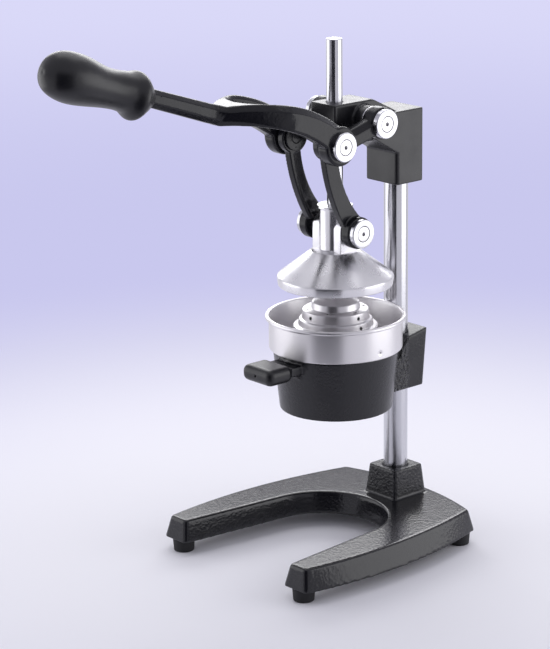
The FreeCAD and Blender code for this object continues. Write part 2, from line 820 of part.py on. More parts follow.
def make_cone():
    piece = Piece("press_cone")
    rod_r = size("rod_dia") * 0.5 + size("run_gap")
    neck = size("neck_dia") * 0.5
    neck_top = size("neck_top")
    collar = size("collar_dia") * 0.5
    shoulder, shoulder_z = size("shoulder_radius"), size("shoulder_z")
    widest, rim = size("cone_radius"), size("cone_rim_z")
    lip, lip_z = size("cone_lip_radius"), size("cone_lip_z")
    wall = size("cone_wall")
    roof = shoulder_z - 6
    piece.revolve([
        (rod_r, neck_top),
        (collar - 1, neck_top),
        (collar, neck_top - 1),
        (collar, neck_top - size("collar_height")),
        (neck, neck_top - size("collar_height") - 1),
        (neck, shoulder_z + 1),
        (shoulder, shoulder_z),
        (widest - 1.5, rim + 2.5),
        (widest, rim),
        (lip, lip_z),
        (lip - wall, lip_z),
        (lip - wall, rim),
        (shoulder - 3, roof),
        (0, roof),
        (0, size("rod_seat")),
        (rod_r, size("rod_seat")),
    ])
    half = size("lug_width") * 0.5
    pivot = size("press_pivot_z")
    inner, outer = size("lug_inner_x"), size("lug_outer_x")
    lug = [(-half, shoulder_z - 4), (half, shoulder_z - 4), (half, pivot, (0, pivot + half)),
           (-half, pivot)]
    pin = size("pin_dia") * 0.5 + size("run_gap")
    for start, bore_start in ((inner, inner + 1), (-outer, -outer - 1)):
        piece.pad(piece.outline("YZ_Plane", lug, start), outer - inner)
        piece.bore("YZ_Plane", 0, pivot, pin, bore_start, outer - inner)
    node(piece.body, "press_cone")
    radius = size("rod_dia") * 0.5
    low, top = size("rod_seat"), size("rod_top")
    rod = turned("guide_rod", [
        (0, low), (radius, low), (radius, top - 1), (radius - 1, top), (0, top),
    ])
    node(rod, "guide_rod")


def make_links():
    """The bowed links, each with a flange along its front edge and an eye at each end."""
    piece = Piece("link_right")
    inner = size("link_inner_x")
    outer = inner + size("link_thick")
    upper_y = size("head_pivot_y") - size("crank_reach")
    upper_z = size("head_pivot_z") - size("crank_drop")
    lower_z = size("press_pivot_z")
    middle_z = (upper_z + lower_z) * 0.5
    front_via = (upper_y * 0.5 - 15.5, middle_z)
    rear_via = (upper_y * 0.5 + 1.5, middle_z + 0.5)
    front = [(upper_y - 7.5, upper_z - 10.5), (-13, lower_z + 6)]
    rear = [(9, lower_z + 11.5), (upper_y + 9.5, upper_z - 12)]
    rib = size("link_rib")
    web = [
        (front[0][0], front[0][1], front_via), front[1],
        (rear[0][0], rear[0][1], rear_via), rear[1],
    ]
    flange = [
        (front[0][0], front[0][1], front_via), front[1],
        (front[1][0] + rib, front[1][1] + 1, (front_via[0] + rib, front_via[1])),
        (front[0][0] + rib, front[0][1] + 1),
    ]
    foot = size("link_foot_inner_x")
    piece.pad(piece.circle("YZ_Plane", 0, lower_z, size("link_foot_dia") * 0.5, foot),
              size("link_foot_x") - foot)
    piece.pad(piece.outline("YZ_Plane", web, outer - size("link_web")), size("link_web"))
    piece.pad(piece.outline("YZ_Plane", flange, inner), size("link_thick"))
    piece.pad(piece.circle("YZ_Plane", upper_y, upper_z, size("link_eye_dia") * 0.5, inner),
              size("link_thick"))
    pin = size("pin_dia") * 0.5
    span = size("link_foot_x") - inner + 2
    piece.bore("YZ_Plane", 0, lower_z, pin + size("run_gap"), inner - 1, span)
    piece.bore("YZ_Plane", upper_y, upper_z, pin + size("link_play"), inner - 1, span)
    node(piece.body, "link_right")
    node(mirror(piece.body, "link_left"), "link_left")


# Lever and its grip

GRIP_STATIONS = (
    (0.0, 10.8, -1.0),
    (0.035, 13.6, -1.2),
    (0.07, 17.2, -1.5),
    (0.105, 20.6, -1.8),
    (0.14, 22.3, -1.7),
    (0.175, 21.5, -1.0),
    (0.22, 19.3, -0.5),
    (0.28, 18.1, -0.4),
    (0.36, 17.7, -0.9),
    (0.48, 18.8, -1.3),
    (0.64, 21.9, -0.7),
    (0.79, 22.5, -0.5),
    (0.88, 20.3, -0.4),
    (0.94, 16.2, -1.0),
    (0.975, 10.9, -1.5),
    (0.993, 6.0, -1.7),
    (1.0, 2.6, -1.8),
)
LEVER_RISE = 19.0


def along_shaft(reach, lift=0.0, x=0.0):
    """A point given by its distance along the lever shaft and above the shaft's axis."""
    rise = math.radians(LEVER_RISE)
    y = -num("shaft_y") - reach * math.cos(rise) + lift * math.sin(rise)
    z = num("shaft_z") + reach * math.sin(rise) + lift * math.cos(rise)
    return Vector(x, y, z)


def octagon(reach, width, room=0.0):
    """Section of the shaft, square to its axis."""
    half = width / 2 + room
    cut = half * 0.45
    turns = ((half, cut), (cut, half), (-cut, half), (-half, cut),
             (-half, -cut), (-cut, -half), (cut, -half), (half, -cut))
    spots = [along_shaft(reach, lift, x) for x, lift in turns]
    return Part.makePolygon(spots + spots[:1])


def shaft_solid(start, room=0.0):
    wide, narrow = num("shaft_width"), num("shaft_end_width")
    length = num("shaft_length")
    first = wide + (narrow - wide) * start / length
    return Part.makeLoft([octagon(start, first, room), octagon(length, narrow, room)], True, True)


def plate(edges, direction):
    """A closed outline made into a solid."""
    wire = Part.Wire([edge.toShape() for edge in edges])
    return Part.Face(wire).extrude(direction)


def lever_side():
    """The lever seen from the side: shaft end, arm, bosses and crank."""
    crank_y, crank_z = num("head_pivot_y"), num("head_pivot_z")
    boss_y, boss_z = crank_y - num("crank_reach"), crank_z - num("crank_drop")
    width = 2 * num("lever_outer_x")
    start = Vector(-num("lever_outer_x"), 0, 0)
    half = num("shaft_width") / 2
    top_far, low_far = along_shaft(12, half), along_shaft(12, -half)
    top_near, low_near = along_shaft(-4, half + 1), along_shaft(-2, -half + 1)

    def at(y, z):
        return Vector(0, boss_y + y, boss_z + z)

    arm = plate([
        Part.LineSegment(top_far, top_near),
        Part.Arc(top_near, at(-52.5, 44.4), at(-1, 17)),
        Part.LineSegment(at(-1, 17), at(2, -3)),
        Part.LineSegment(at(2, -3), at(-14, -3.5)),
        Part.Arc(at(-14, -3.5), at(-60, 22), low_near),
        Part.LineSegment(low_near, low_far),
        Part.LineSegment(low_far, top_far),
    ], Vector(width, 0, 0))
    slope = math.atan2(num("crank_drop"), num("crank_reach"))
    up = Vector(0, -math.sin(slope), math.cos(slope)) * (num("crank_height") / 2)
    boss, eye = Vector(0, boss_y, boss_z), Vector(0, crank_y, crank_z)
    crank = Part.Face(Part.makePolygon([boss + up, eye + up, eye - up, boss - up, boss + up]))
    crank = crank.extrude(Vector(width, 0, 0))
    axis = Vector(1, 0, 0)
    rounds = [
        Part.makeCylinder(num("lever_boss_dia") / 2, width, boss, axis),
        Part.makeCylinder(num("crank_boss_dia") / 2, width, eye, axis),
    ]
    shape = arm.fuse([crank] + rounds).removeSplitter()
    shape.translate(start)
    return shape


def lever_plan():
    """The lever seen from above: a fork whose arms run back beside the head."""
    inner, outer = num("lever_inner_x"), num("lever_outer_x")
    half = num("shaft_width") / 2
    root = -num("fork_y")
    rear = num("head_pivot_y") + num("crank_boss_dia")
    tip = -num("shaft_y") - 6

    def at(x, y):
        return Vector(x, y, 0)

    edges = [
        Part.LineSegment(at(inner, rear), at(outer, rear)),
        Part.LineSegment(at(outer, rear), at(outer, root)),
        Part.Arc(at(outer, root), at(outer * 0.6, root - 32), at(half, tip)),
        Part.LineSegment(at(half, tip), at(-half, tip)),
        Part.Arc(at(-half, tip), at(-outer * 0.6, root - 32), at(-outer, root)),
        Part.LineSegment(at(-outer, root), at(-outer, rear)),
        Part.LineSegment(at(-outer, rear), at(-inner, rear)),
        Part.LineSegment(at(-inner, rear), at(-inner, root)),
        Part.Arc(at(-inner, root), at(0, root - inner), at(inner, root)),
        Part.LineSegment(at(inner, root), at(inner, rear)),
    ]
    return plate(edges, Vector(0, 0, 2 * num("head_pivot_z")))


def is_arm_curve(edge):
    """The long bowed edges of the two arms."""
    box = edge.BoundBox
    bowed = isinstance(edge.Curve, Part.Circle) and box.XLength < 0.01
    return bowed and box.YMin < -num("lever_boss_dia") - 30 and box.YLength > 30


def make_lever():
    fork = lever_side().common(lever_plan())
    fork = fork.makeFillet(3, [edge for edge in fork.Edges if is_arm_curve(edge)])
    casting = fork.fuse(shaft_solid(6)).removeSplitter()
    bore = num("pin_dia") / 2 + num("run_gap")
    crank = Vector(-60, num("head_pivot_y"), num("head_pivot_z"))
    boss = crank - Vector(0, num("crank_reach"), num("crank_drop"))
    holes = [Part.makeCylinder(bore, 120, spot, Vector(1, 0, 0)) for spot in (crank, boss)]
    solid_feature("lever_casting", casting.cut(Part.makeCompound(holes)))

    start, length = num("grip_start"), num("grip_length")
    axis = along_shaft(1) - along_shaft(0)
    rings = [
        Part.Wire(Part.makeCircle(radius, along_shaft(start + share * length, lift), axis))
        for share, radius, lift in GRIP_STATIONS
    ]
    grip = Part.makeLoft(rings, True, False)
    hole = shaft_solid(start - 1, num("run_gap"))
    tip = along_shaft(start + length - 6, GRIP_STATIONS[-1][2])
    grip = grip.cut(hole).cut(Part.makeCylinder(0.8, 20, tip, axis))
    solid_feature("lever_grip", grip)


# Pivots


def both_sides(label, item):
    return [item, mirror(item, f"{label}_left")]


def pin_corners(start, end):
    """A pin bored at its outer end for the cap screw."""
    radius = size("pin_dia") * 0.5
    bore = size("screw_dia") * 0.5 + size("run_gap")
    stop = end - size("screw_length") + size("cap_thick") - 1
    return [(0, start), (radius, start), (radius, end), (bore, end), (bore, stop), (0, stop)]


def cap_and_screw(prefix, y, z, face):
    """A chromed cap on the end of a pin, held by a countersunk screw, on both sides."""
    thick = size("cap_thick")
    radius = size("cap_dia") * 0.5
    screw_r = size("screw_dia") * 0.5
    head_r = size("screw_head_dia") * 0.5
    gap = size("run_gap")
    spot = dict(x=face, y=y, z=z, turn=ALONG_X)
    cap = turned(f"{prefix}_cap", [
        (screw_r + gap, 0),
        (radius, 0),
        (radius, thick - 1),
        (radius - 1, thick),
        (head_r + gap, thick),
        (head_r + gap, thick - 0.5),
        (screw_r + gap, thick - 4),
    ], **spot)
    piece = Piece(f"{prefix}_screw")
    top = thick - 0.3
    piece.revolve([
        (0, thick - size("screw_length")),
        (screw_r, thick - size("screw_length")),
        (screw_r, thick - 4),
        (head_r, thick - 0.5),
        (head_r, top),
        (0, top),
    ])
    piece.pocket(piece.outline("XY_Plane", hexagon(size("hex_width")), top), 3)
    seat(piece.body, **spot)
    group(f"{prefix}_caps", both_sides(f"{prefix}_cap", cap))
    group(f"{prefix}_screws", both_sides(f"{prefix}_screw", piece.body))


def make_pivots():
    head_y, head_z = size("head_pivot_y"), size("head_pivot_z")
    lever_y, lever_z = head_y - size("crank_reach"), head_z - size("crank_drop")
    press_z = size("press_pivot_z")
    gap = size("run_gap")
    side = size("side_gap")
    pin = size("pin_dia") * 0.5
    outer = size("lever_outer_x")

    # head pivot: one axle through the head, with a washer between the head and each crank
    end = outer + side
    bore = size("screw_dia") * 0.5 + gap
    stop = end - size("screw_length") + size("cap_thick") - 1
    axle = turned("head_axle", [
        (0, -stop), (bore, -stop), (bore, -end), (pin, -end),
        (pin, end), (bore, end), (bore, stop), (0, stop),
    ], y=head_y, z=head_z, turn=ALONG_X)
    node(axle, "head_axle")
    washer_r = size("head_boss_dia") * 0.5
    washer = turned("head_washer", [
        (pin + gap, 0), (washer_r, 0), (washer_r, size("washer_thick")),
        (pin + gap, size("washer_thick")),
    ], x=size("head_boss_face"), y=head_y, z=head_z, turn=ALONG_X)
    group("head_washers", both_sides("head_washer", washer))
    cap_and_screw("head_pivot", head_y, head_z, end)

    # lever pivot: a pin in each lever boss that reaches through the upper eye of the link
    retainer = 1.6
    start = size("link_inner_x") - retainer - side * 2
    lever_pin = turned("lever_pin", pin_corners(start, outer), y=lever_y, z=lever_z, turn=ALONG_X)
    group("lever_pins", both_sides("lever_pin", lever_pin))
    ring = turned("lever_retainer", [
        (pin + gap, 0), (13, 0), (13, retainer), (pin + gap, retainer),
    ], x=start, y=lever_y, z=lever_z, turn=ALONG_X)
    group("lever_retainers", both_sides("lever_retainer", ring))
    cap_and_screw("lever_pivot", lever_y, lever_z, outer)

    # lower pivot: a stub pin in each lug of the cone that carries the lower eye
    end = size("link_foot_x") + side
    press_pin = turned("press_pin", pin_corners(size("lug_inner_x") + 1, end),
                       z=press_z, turn=ALONG_X)
    group("press_pins", both_sides("press_pin", press_pin))
    cap_and_screw("press_pivot", as_size(0), press_z, end)


make_feet()
make_base()
make_column()
make_set_screws()
make_head()
make_bush()
make_pot()
make_knob()
make_pan()
make_dome()
make_cone()
make_links()
make_lever()
make_pivots()
doc.recompute()

for item in doc.Objects:
    if {"Invalid", "Error"} & set(item.State):
        raise RuntimeError(f"{item.Name} failed: {item.State}")
labels = [item.Label for item in nodes]
if len(set(labels)) != len(labels):
    raise RuntimeError("two sub-parts share a label")
box = FreeCAD.BoundBox()
for item in nodes:
    if item.Shape.isNull() or not item.Shape.isValid() or not item.Shape.Solids:
        raise RuntimeError(f"{item.Label} has no valid shape")
    box.add(item.Shape.optimalBoundingBox(False, False))

# the origin is the middle of the footprint, on the worktop
shift = Vector(-box.Center.x, -box.Center.y, -box.ZMin)
os.makedirs("parts", exist_ok=True)
for item in nodes:
    shape = item.Shape.copy()
    shape.translate(shift)
    shape.exportStep(f"parts/{item.Label}.step")
    print(f"{item.Label}: {len(shape.Solids)} solid(s), {shape.Volume / 1000:.1f} cm3")
print(f"{len(nodes)} nodes, shift {shift.x:.3f} {shift.y:.3f} {shift.z:.3f}")
print(f"size {box.XLength:.2f} {box.YLength:.2f} {box.ZLength:.2f}")
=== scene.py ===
import math

import bmesh
import bpy
from bpy.props import FloatProperty, FloatVectorProperty, IntProperty, PointerProperty
from mathutils import Matrix, Vector


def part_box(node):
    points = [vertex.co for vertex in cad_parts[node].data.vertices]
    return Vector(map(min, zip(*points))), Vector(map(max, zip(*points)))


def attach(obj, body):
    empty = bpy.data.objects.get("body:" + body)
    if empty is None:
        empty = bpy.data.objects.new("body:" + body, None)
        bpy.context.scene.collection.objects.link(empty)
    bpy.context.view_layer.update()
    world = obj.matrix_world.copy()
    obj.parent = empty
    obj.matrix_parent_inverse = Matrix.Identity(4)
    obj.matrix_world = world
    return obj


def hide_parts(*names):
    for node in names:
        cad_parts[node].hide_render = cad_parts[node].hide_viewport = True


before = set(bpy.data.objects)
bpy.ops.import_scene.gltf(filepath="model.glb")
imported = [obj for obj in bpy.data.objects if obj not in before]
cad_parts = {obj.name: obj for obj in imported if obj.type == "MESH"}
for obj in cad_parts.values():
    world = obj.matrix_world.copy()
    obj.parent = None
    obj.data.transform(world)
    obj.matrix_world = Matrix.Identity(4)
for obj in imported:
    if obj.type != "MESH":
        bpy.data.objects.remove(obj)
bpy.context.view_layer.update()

bl_info = {
    "name": "Lever citrus press",
    "version": (1, 0, 0),
    "blender": (4, 5, 0),
    "location": "3D View > Sidebar > Press",
    "description": "Builds the looks of a hand-lever citrus press round its CAD frame",
    "category": "Add Mesh",
}

MM = 0.001


def linear(hex_value):
    """The linear colour of an sRGB hex value."""
    shares = [int(hex_value[i:i + 2], 16) / 255 for i in (1, 3, 5)]
    return tuple(s / 12.92 if s <= 0.04045 else ((s + 0.055) / 1.055) ** 2.4 for s in shares) + (1.0,)


def add(tree, kind, inputs=None, **settings):
    """Add a node with its settings. Inputs take a value, or the output that feeds them."""
    item = tree.nodes.new(kind)
    for name, value in settings.items():
        setattr(item, name, value)
    for key, value in (inputs or {}).items():
        if isinstance(value, bpy.types.NodeSocket):
            tree.links.new(value, item.inputs[key])
        else:
            item.inputs[key].default_value = value
    return item


def low(node):
    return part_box(node)[0]


def high(node):
    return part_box(node)[1]


def middle(node):
    return (low(node) + high(node)) / 2


AXIS = middle("guide_rod").y


# Sizes and colours


def in_mm(name, description, default, least, most):
    """A length that is given in millimetres and kept in metres."""
    return FloatProperty(name=name, description=description, default=default * MM, min=least * MM,
                         max=most * MM, unit="LENGTH")


def in_hex(name, description, hex_value):
    """A colour that is given as an sRGB hex value."""
    return FloatVectorProperty(name=name, description=description, subtype="COLOR", size=4,
                               default=linear(hex_value))


class PressSizes(bpy.types.PropertyGroup):
    turned_steps: IntProperty(
        name="Turned steps", description="Flats round each turned piece", default=144, min=32, max=256)
    base_grain: in_mm("Base skin", "Cell of the skin of the base casting", 1.2, 1.0, 3)
    cast_grain: in_mm("Casting skin", "Cell of the skin of the smaller castings", 0.9, 0.7, 3)
    hammer_cell: in_mm("Hammer marks", "Width of one cell in the hammered enamel", 2.6, 1, 6)
    pan_bead: in_mm("Rolled rim", "Radius of the rolled rim of the pan", 2.1, 1.5, 2.1)
    hole_radius: in_mm("Strainer hole", "Radius of the holes in the dome", 1.7, 1, 2.5)
    hole_count: IntProperty(
        name="Holes", description="Holes in the lower step of the dome", default=12, min=6, max=24)
    arm_bevel: in_mm("Arm bevel", "Height of the wide bevel along the top of the lever's arms", 6.4, 2, 9)


class PressColours(bpy.types.PropertyGroup):
    enamel: in_hex("Enamel", "Paint of the castings", "#17171B")
    plastic: in_hex("Plastic", "Moulded grips", "#17171A")
    chrome: in_hex("Chrome", "Column, rod and caps", "#CDCDD2")
    alloy: in_hex("Alloy", "Press cone", "#E6E5E8")
    steel: in_hex("Steel", "Pan, dome and screws", "#E4E2E4")
    floor: in_hex("Floor", "Floor near the press", "#F1F0F6")
    far_floor: in_hex("Far floor", "Floor far from the press", "#C9C8EE")


def press_sizes():
    return bpy.context.scene.press_sizes


def press_colours():
    return bpy.context.scene.press_colours


# Materials


def surface(name, colour, roughness, metallic=0.0):
    """A new material, its tree, its shader and the object's coordinates."""
    made = bpy.data.materials.new(name)
    made.use_nodes = True
    tree = made.node_tree
    shader = tree.nodes["Principled BSDF"]
    shader.inputs["Base Color"].default_value = colour
    shader.inputs["Roughness"].default_value = roughness
    shader.inputs["Metallic"].default_value = metallic
    place = add(tree, "ShaderNodeTexCoord").outputs["Object"]
    return made, tree, shader, place


def calc(tree, operation, a, b=0.0, c=0.0):
    return add(tree, "ShaderNodeMath", {0: a, 1: b, 2: c}, operation=operation).outputs[0]


def relief(tree, shader, *layers):
    """Bump from (height, depth in metres) layers, one over the other."""
    last = None
    for height, depth in layers:
        inputs = {"Strength": 1.0, "Distance": depth, "Height": height}
        if last:
            inputs["Normal"] = last
        last = add(tree, "ShaderNodeBump", inputs).outputs[0]
    tree.links.new(last, shader.inputs["Normal"])


def noise(tree, place, scale, detail=3.0, roughness=0.5, output="Fac"):
    """Noise over a place, with its scale in cells per metre."""
    return add(tree, "ShaderNodeTexNoise", {"Vector": place, "Scale": scale, "Detail": detail,
                                            "Roughness": roughness}).outputs[output]


def ramp(tree, value, start, end, first=0.0, last=1.0, kind="LINEAR"):
    """A number that goes from first to last while the value goes from start to end."""
    return add(tree, "ShaderNodeMapRange", {"Value": value, "From Min": start, "From Max": end,
                                            "To Min": first, "To Max": last},
               interpolation_type=kind).outputs[0]


def mixed(tree, factor, a, b):
    """The colour between two colours."""
    return add(tree, "ShaderNodeMix", {"Factor": factor, "A": a, "B": b},
               data_type="RGBA").outputs["Result"]


def axes_of(tree, place):
    """The x, y and z of a place."""
    return add(tree, "ShaderNodeSeparateXYZ", {0: place}).outputs


def gloss(tree, shader, value, first, last, start=0.3, end=0.7):
    """Roughness that follows a value."""
    tree.links.new(ramp(tree, value, start, end, first, last), shader.inputs["Roughness"])


def near_spot(tree, place, spot, radius):
    """1 at a spot of the object, falling to 0 at the radius."""
    apart = add(tree, "ShaderNodeVectorMath", {0: place, 1: spot}, operation="DISTANCE")
    return ramp(tree, apart.outputs["Value"], radius, 0.0, kind="SMOOTHSTEP")


def hammered_enamel():
    """Stove enamel with a hammered finish: glossy, with soft cells that break up every reflection."""
    made, tree, shader, place = surface("hammered stove enamel", press_colours().enamel, 0.24)
    cell = press_sizes().hammer_cell
    warp = noise(tree, place, 0.5 / cell, 2.0, output="Color")
    bent = add(tree, "ShaderNodeVectorMath", {0: warp, 1: (cell * 1.1,) * 3, 2: place},
               operation="MULTIPLY_ADD").outputs[0]
    cells = add(tree, "ShaderNodeTexVoronoi", {"Vector": bent, "Scale": 1 / cell, "Smoothness": 0.8},
                feature="SMOOTH_F1").outputs["Distance"]
    out, front, up = 89.3 * MM, low("base_casting").y, 23.5 * MM
    dimples = [near_spot(tree, place, (x, front, up), 2.2 * MM) for x in (-out, out)]
    sand = calc(tree, "MULTIPLY", noise(tree, place, 1 / (2.6 * MM), 2.0), socket_foot(tree, place))
    relief(tree, shader, (cells, -0.14 * MM), (noise(tree, place, 3 / cell), 0.02 * MM),
           (calc(tree, "ADD", *dimples), -1.2 * MM), (sand, 0.9 * MM))
    # the crowns of the cells are polished by wiping, the valleys stay duller
    gloss(tree, shader, cells, 0.13, 0.22, 0.1, 0.7)
    return made


def sprayed_enamel(name, roughness, peel, depth, pits=0.0, rough=None, shine=0.5):
    """Sprayed stove enamel on a casting: an even sheen with orange peel and a few pits."""
    made, tree, shader, place = surface(name, press_colours().enamel, roughness)
    shader.inputs["Specular IOR Level"].default_value = shine
    layers = [(noise(tree, place, 1 / peel, 3.0, 0.45), depth)]
    if pits:
        spots = add(tree, "ShaderNodeTexVoronoi", {"Vector": place, "Scale": 1 / (9 * MM)}).outputs
        pit = ramp(tree, spots["Distance"], 0.1, 0.02, kind="SMOOTHSTEP")
        lot = add(tree, "ShaderNodeSeparateColor", {0: spots["Color"]}).outputs[0]
        layers.append((calc(tree, "MULTIPLY", pit, calc(tree, "GREATER_THAN", lot, 1 - pits)), -0.5 * MM))
    worn = ramp(tree, noise(tree, place, 45.0, 4.0), 0.3, 0.7, roughness - 0.05, roughness + 0.07)
    if rough:
        band = rough(tree, place)
        sand = noise(tree, place, 1 / (3.4 * MM), 1.0, 0.6)
        layers.append((calc(tree, "MULTIPLY", sand, band), 3.2 * MM))
        worn = calc(tree, "SUBTRACT", worn, calc(tree, "MULTIPLY", band, 0.16))
    relief(tree, shader, *layers)
    tree.links.new(worn, shader.inputs["Roughness"])
    return made


def clamp_band(tree, place):
    """The side faces of the pot's clamp near the pot, which were left as cast."""
    x, y, _ = axes_of(tree, place)
    out = calc(tree, "ABSOLUTE", x)
    edge = calc(tree, "MULTIPLY_ADD", noise(tree, place, 90.0, 2.0), 14 * MM, AXIS + 73 * MM)
    before = ramp(tree, calc(tree, "SUBTRACT", edge, y), 0.0, 3 * MM)
    side = ramp(tree, out, 19.5 * MM, 20.8 * MM)
    block = calc(tree, "LESS_THAN", out, 22.5 * MM)
    rear = calc(tree, "MULTIPLY", block, calc(tree, "GREATER_THAN", y, AXIS + 45 * MM))
    return calc(tree, "MULTIPLY", calc(tree, "MULTIPLY", before, side), rear)


def socket_foot(tree, place):
    """The column's socket, where the casting keeps its sand grain."""
    return ramp(tree, axes_of(tree, place)[2], 35 * MM, 40 * MM)


def brush_round(tree, shader, place, strength, y):
    """Marks that run round an upright axis, so highlights draw out along it."""
    out = add(tree, "ShaderNodeVectorMath", {0: place, 1: (0.0, y, 0.0)}, operation="SUBTRACT").outputs[0]
    turn = add(tree, "ShaderNodeVectorMath", {0: (0.0, 0.0, 1.0), 1: out}, operation="CROSS_PRODUCT")
    tree.links.new(turn.outputs[0], shader.inputs["Tangent"])
    shader.inputs["Anisotropic"].default_value = strength
    shader.inputs["Anisotropic Rotation"].default_value = 0.25


def rings(tree, place, spacing):
    """Fine rings round the upright axis: a tool's marks, as noise on height and radius."""
    x, y, z = axes_of(tree, place)
    flat = add(tree, "ShaderNodeCombineXYZ", {0: x, 1: calc(tree, "SUBTRACT", y, AXIS)}).outputs[0]
    radius = add(tree, "ShaderNodeVectorMath", {0: flat}, operation="LENGTH").outputs["Value"]
    line = add(tree, "ShaderNodeCombineXYZ", {0: radius, 2: z}).outputs[0]
    return noise(tree, line, 1 / spacing, 3.0, 0.7)


def turned_alloy():
    """Cast aluminium, turned and polished: bright, with streaks drawn out along the cone."""
    made, tree, shader, place = surface("polished cast aluminium", press_colours().alloy, 0.3, 1.0)
    relief(tree, shader, (rings(tree, place, 0.45 * MM), 0.0008 * MM))
    brush_round(tree, shader, place, 0.75, AXIS)
    gloss(tree, shader, noise(tree, place, 60.0), 0.25, 0.34)
    return made


def brushed_steel():
    """Stainless sheet, spun and brushed round: a satin sheen with faint rings and one spot weld, dark at its
    centre.
    """
    steel, rough, spread = press_colours().steel, 0.38, 0.015
    made, tree, shader, place = surface("brushed stainless steel", steel, rough, 1.0)
    marks = rings(tree, place, 0.35 * MM)
    weld = (65.2 * MM, AXIS - 1.8 * MM, 211.8 * MM)
    relief(tree, shader, (marks, 0.0004 * MM), (near_spot(tree, place, weld, 3.6 * MM), -0.7 * MM))
    # the steel's colour turns dark grey at the centre of the weld's dimple
    weld_dark_dot = mixed(tree, near_spot(tree, place, weld, 1.6 * MM), steel, linear("#3C3A3A"))
    tree.links.new(weld_dark_dot, shader.inputs["Base Color"])
    brush_round(tree, shader, place, 0.6, AXIS)
    gloss(tree, shader, marks, rough - spread, rough + spread)
    return made


def chrome(name, roughness, scratch=0.0, centre=None):
    """Bright chrome plate on ground steel: nearly a mirror, with hairlines along the grinding."""
    made, tree, shader, place = surface(name, press_colours().chrome, roughness, 1.0)
    thin = add(tree, "ShaderNodeVectorMath", {0: place, 1: (2500.0, 2500.0, 60.0)}, operation="MULTIPLY")
    hair = noise(tree, thin.outputs[0], 1.0)
    gloss(tree, shader, hair, roughness, roughness + 0.06, 0.35, 0.75)
    if scratch:
        relief(tree, shader, (hair, scratch))
    if centre is not None:
        brush_round(tree, shader, place, 0.85, centre)
    return made


def machined_steel(name, roughness, hex_value):
    """Machined metal: dull bright, with fine tool marks."""
    made, tree, shader, place = surface(name, linear(hex_value), roughness, 1.0)
    relief(tree, shader, (noise(tree, place, 1 / (0.5 * MM)), 0.01 * MM))
    return made


def moulded_plastic():
    """Moulded ABS: black, with the fine matt grain of the mould and an even soft gloss."""
    made, tree, shader, place = surface("moulded ABS", press_colours().plastic, 0.34)
    grain = noise(tree, place, 1 / (0.5 * MM))
    swell = noise(tree, place, 1 / (14 * MM), 1.0)
    relief(tree, shader, (swell, 0.25 * MM), (grain, 0.015 * MM))
    gloss(tree, shader, grain, 0.3, 0.4)
    return made


def black_rubber():
    """Moulded rubber: dull black with a dusty bloom."""
    made, tree, shader, place = surface("moulded rubber", linear("#141416"), 0.7)
    bloom = noise(tree, place, 160.0, 4.0)
    tree.links.new(mixed(tree, bloom, linear("#111113"), linear("#1E1E21")), shader.inputs["Base Color"])
    relief(tree, shader, (bloom, 0.05 * MM))
    return made


MADE = {}


def finish(slot):
    """The material of a slot of the record, made once."""
    makers = {
        "base_paint": hammered_enamel,
        "head_paint": lambda: sprayed_enamel("sprayed stove enamel", 0.3, 2 * MM, 0.06 * MM),
        "pot_paint": lambda: sprayed_enamel("satin stove enamel", 0.28, 2.4 * MM, 0.22 * MM, 0.6, clamp_band),
        "lever_paint": lambda: sprayed_enamel("dipped stove enamel", 0.2, 3 * MM, 0.14 * MM, 0.1, shine=0.32),
        "column_chrome": lambda: chrome("chromed tube", 0.2, 0.002 * MM, middle("column").y),
        "rod_chrome": lambda: chrome("ground chrome", 0.16, 0.0, AXIS),
        "cap_chrome": lambda: chrome("turned chrome", 0.2),
        "cone_alloy": turned_alloy,
        "pan_steel": brushed_steel,
        "screw_steel": lambda: machined_steel("zinc plated steel", 0.22, "#D2D1D4"),
        "pin_steel": lambda: machined_steel("ground steel", 0.25, "#B0B0B4"),
        "bush_bronze": lambda: machined_steel("turned bronze", 0.3, "#A8875A"),
        "grip_plastic": moulded_plastic,
        "foot_rubber": black_rubber,
    }
    if slot not in MADE:
        MADE[slot] = makers[slot]()
    return MADE[slot]


# Forms


def link_up(name, data):
    item = bpy.data.objects.new(name, data)
    bpy.context.scene.collection.objects.link(item)
    return item


def applied(item):
    """The evaluated mesh of an object, which is then removed."""
    depsgraph = bpy.context.evaluated_depsgraph_get()
    data = bpy.data.meshes.new_from_object(item.evaluated_get(depsgraph))
    bpy.data.objects.remove(item)
    return data


def finished(name, data, body, slot, nodes, crease=35):
    """A finished piece that rides on a body and stands for CAD nodes."""
    form = bmesh.new()
    form.from_mesh(data)
    bmesh.ops.remove_doubles(form, verts=form.verts, dist=1e-6)
    outward(form)
    form.to_mesh(data)
    form.free()
    data.name = name
    data.materials.clear()
    data.materials.append(finish(slot))
    data.shade_smooth()
    data.set_sharp_from_angle(angle=math.radians(crease))
    item = link_up(name, data)
    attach(item, body)
    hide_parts(*nodes)
    return item


def cad_form(node):
    """A welded copy of a CAD node's mesh."""
    form = bmesh.new()
    form.from_mesh(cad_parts[node].data)
    bmesh.ops.remove_doubles(form, verts=form.verts, dist=1e-6)
    return form


def mesh_of(form, name):
    """The mesh of a form, which is then freed."""
    data = bpy.data.meshes.new(name)
    form.to_mesh(data)
    form.free()
    return data


def outward(form):
    bmesh.ops.recalc_face_normals(form, faces=form.faces)


def cast_skin(form, grain, rounds):
    """One closed skin round the form, with its edges softened as paint softens a casting's."""
    item = link_up("casting", mesh_of(form, "casting"))
    skin = item.modifiers.new("skin", "REMESH")
    skin.mode = "VOXEL"
    skin.voxel_size = grain
    soft = item.modifiers.new("soft", "SMOOTH")
    soft.factor = 0.5
    soft.iterations = rounds
    return applied(item)


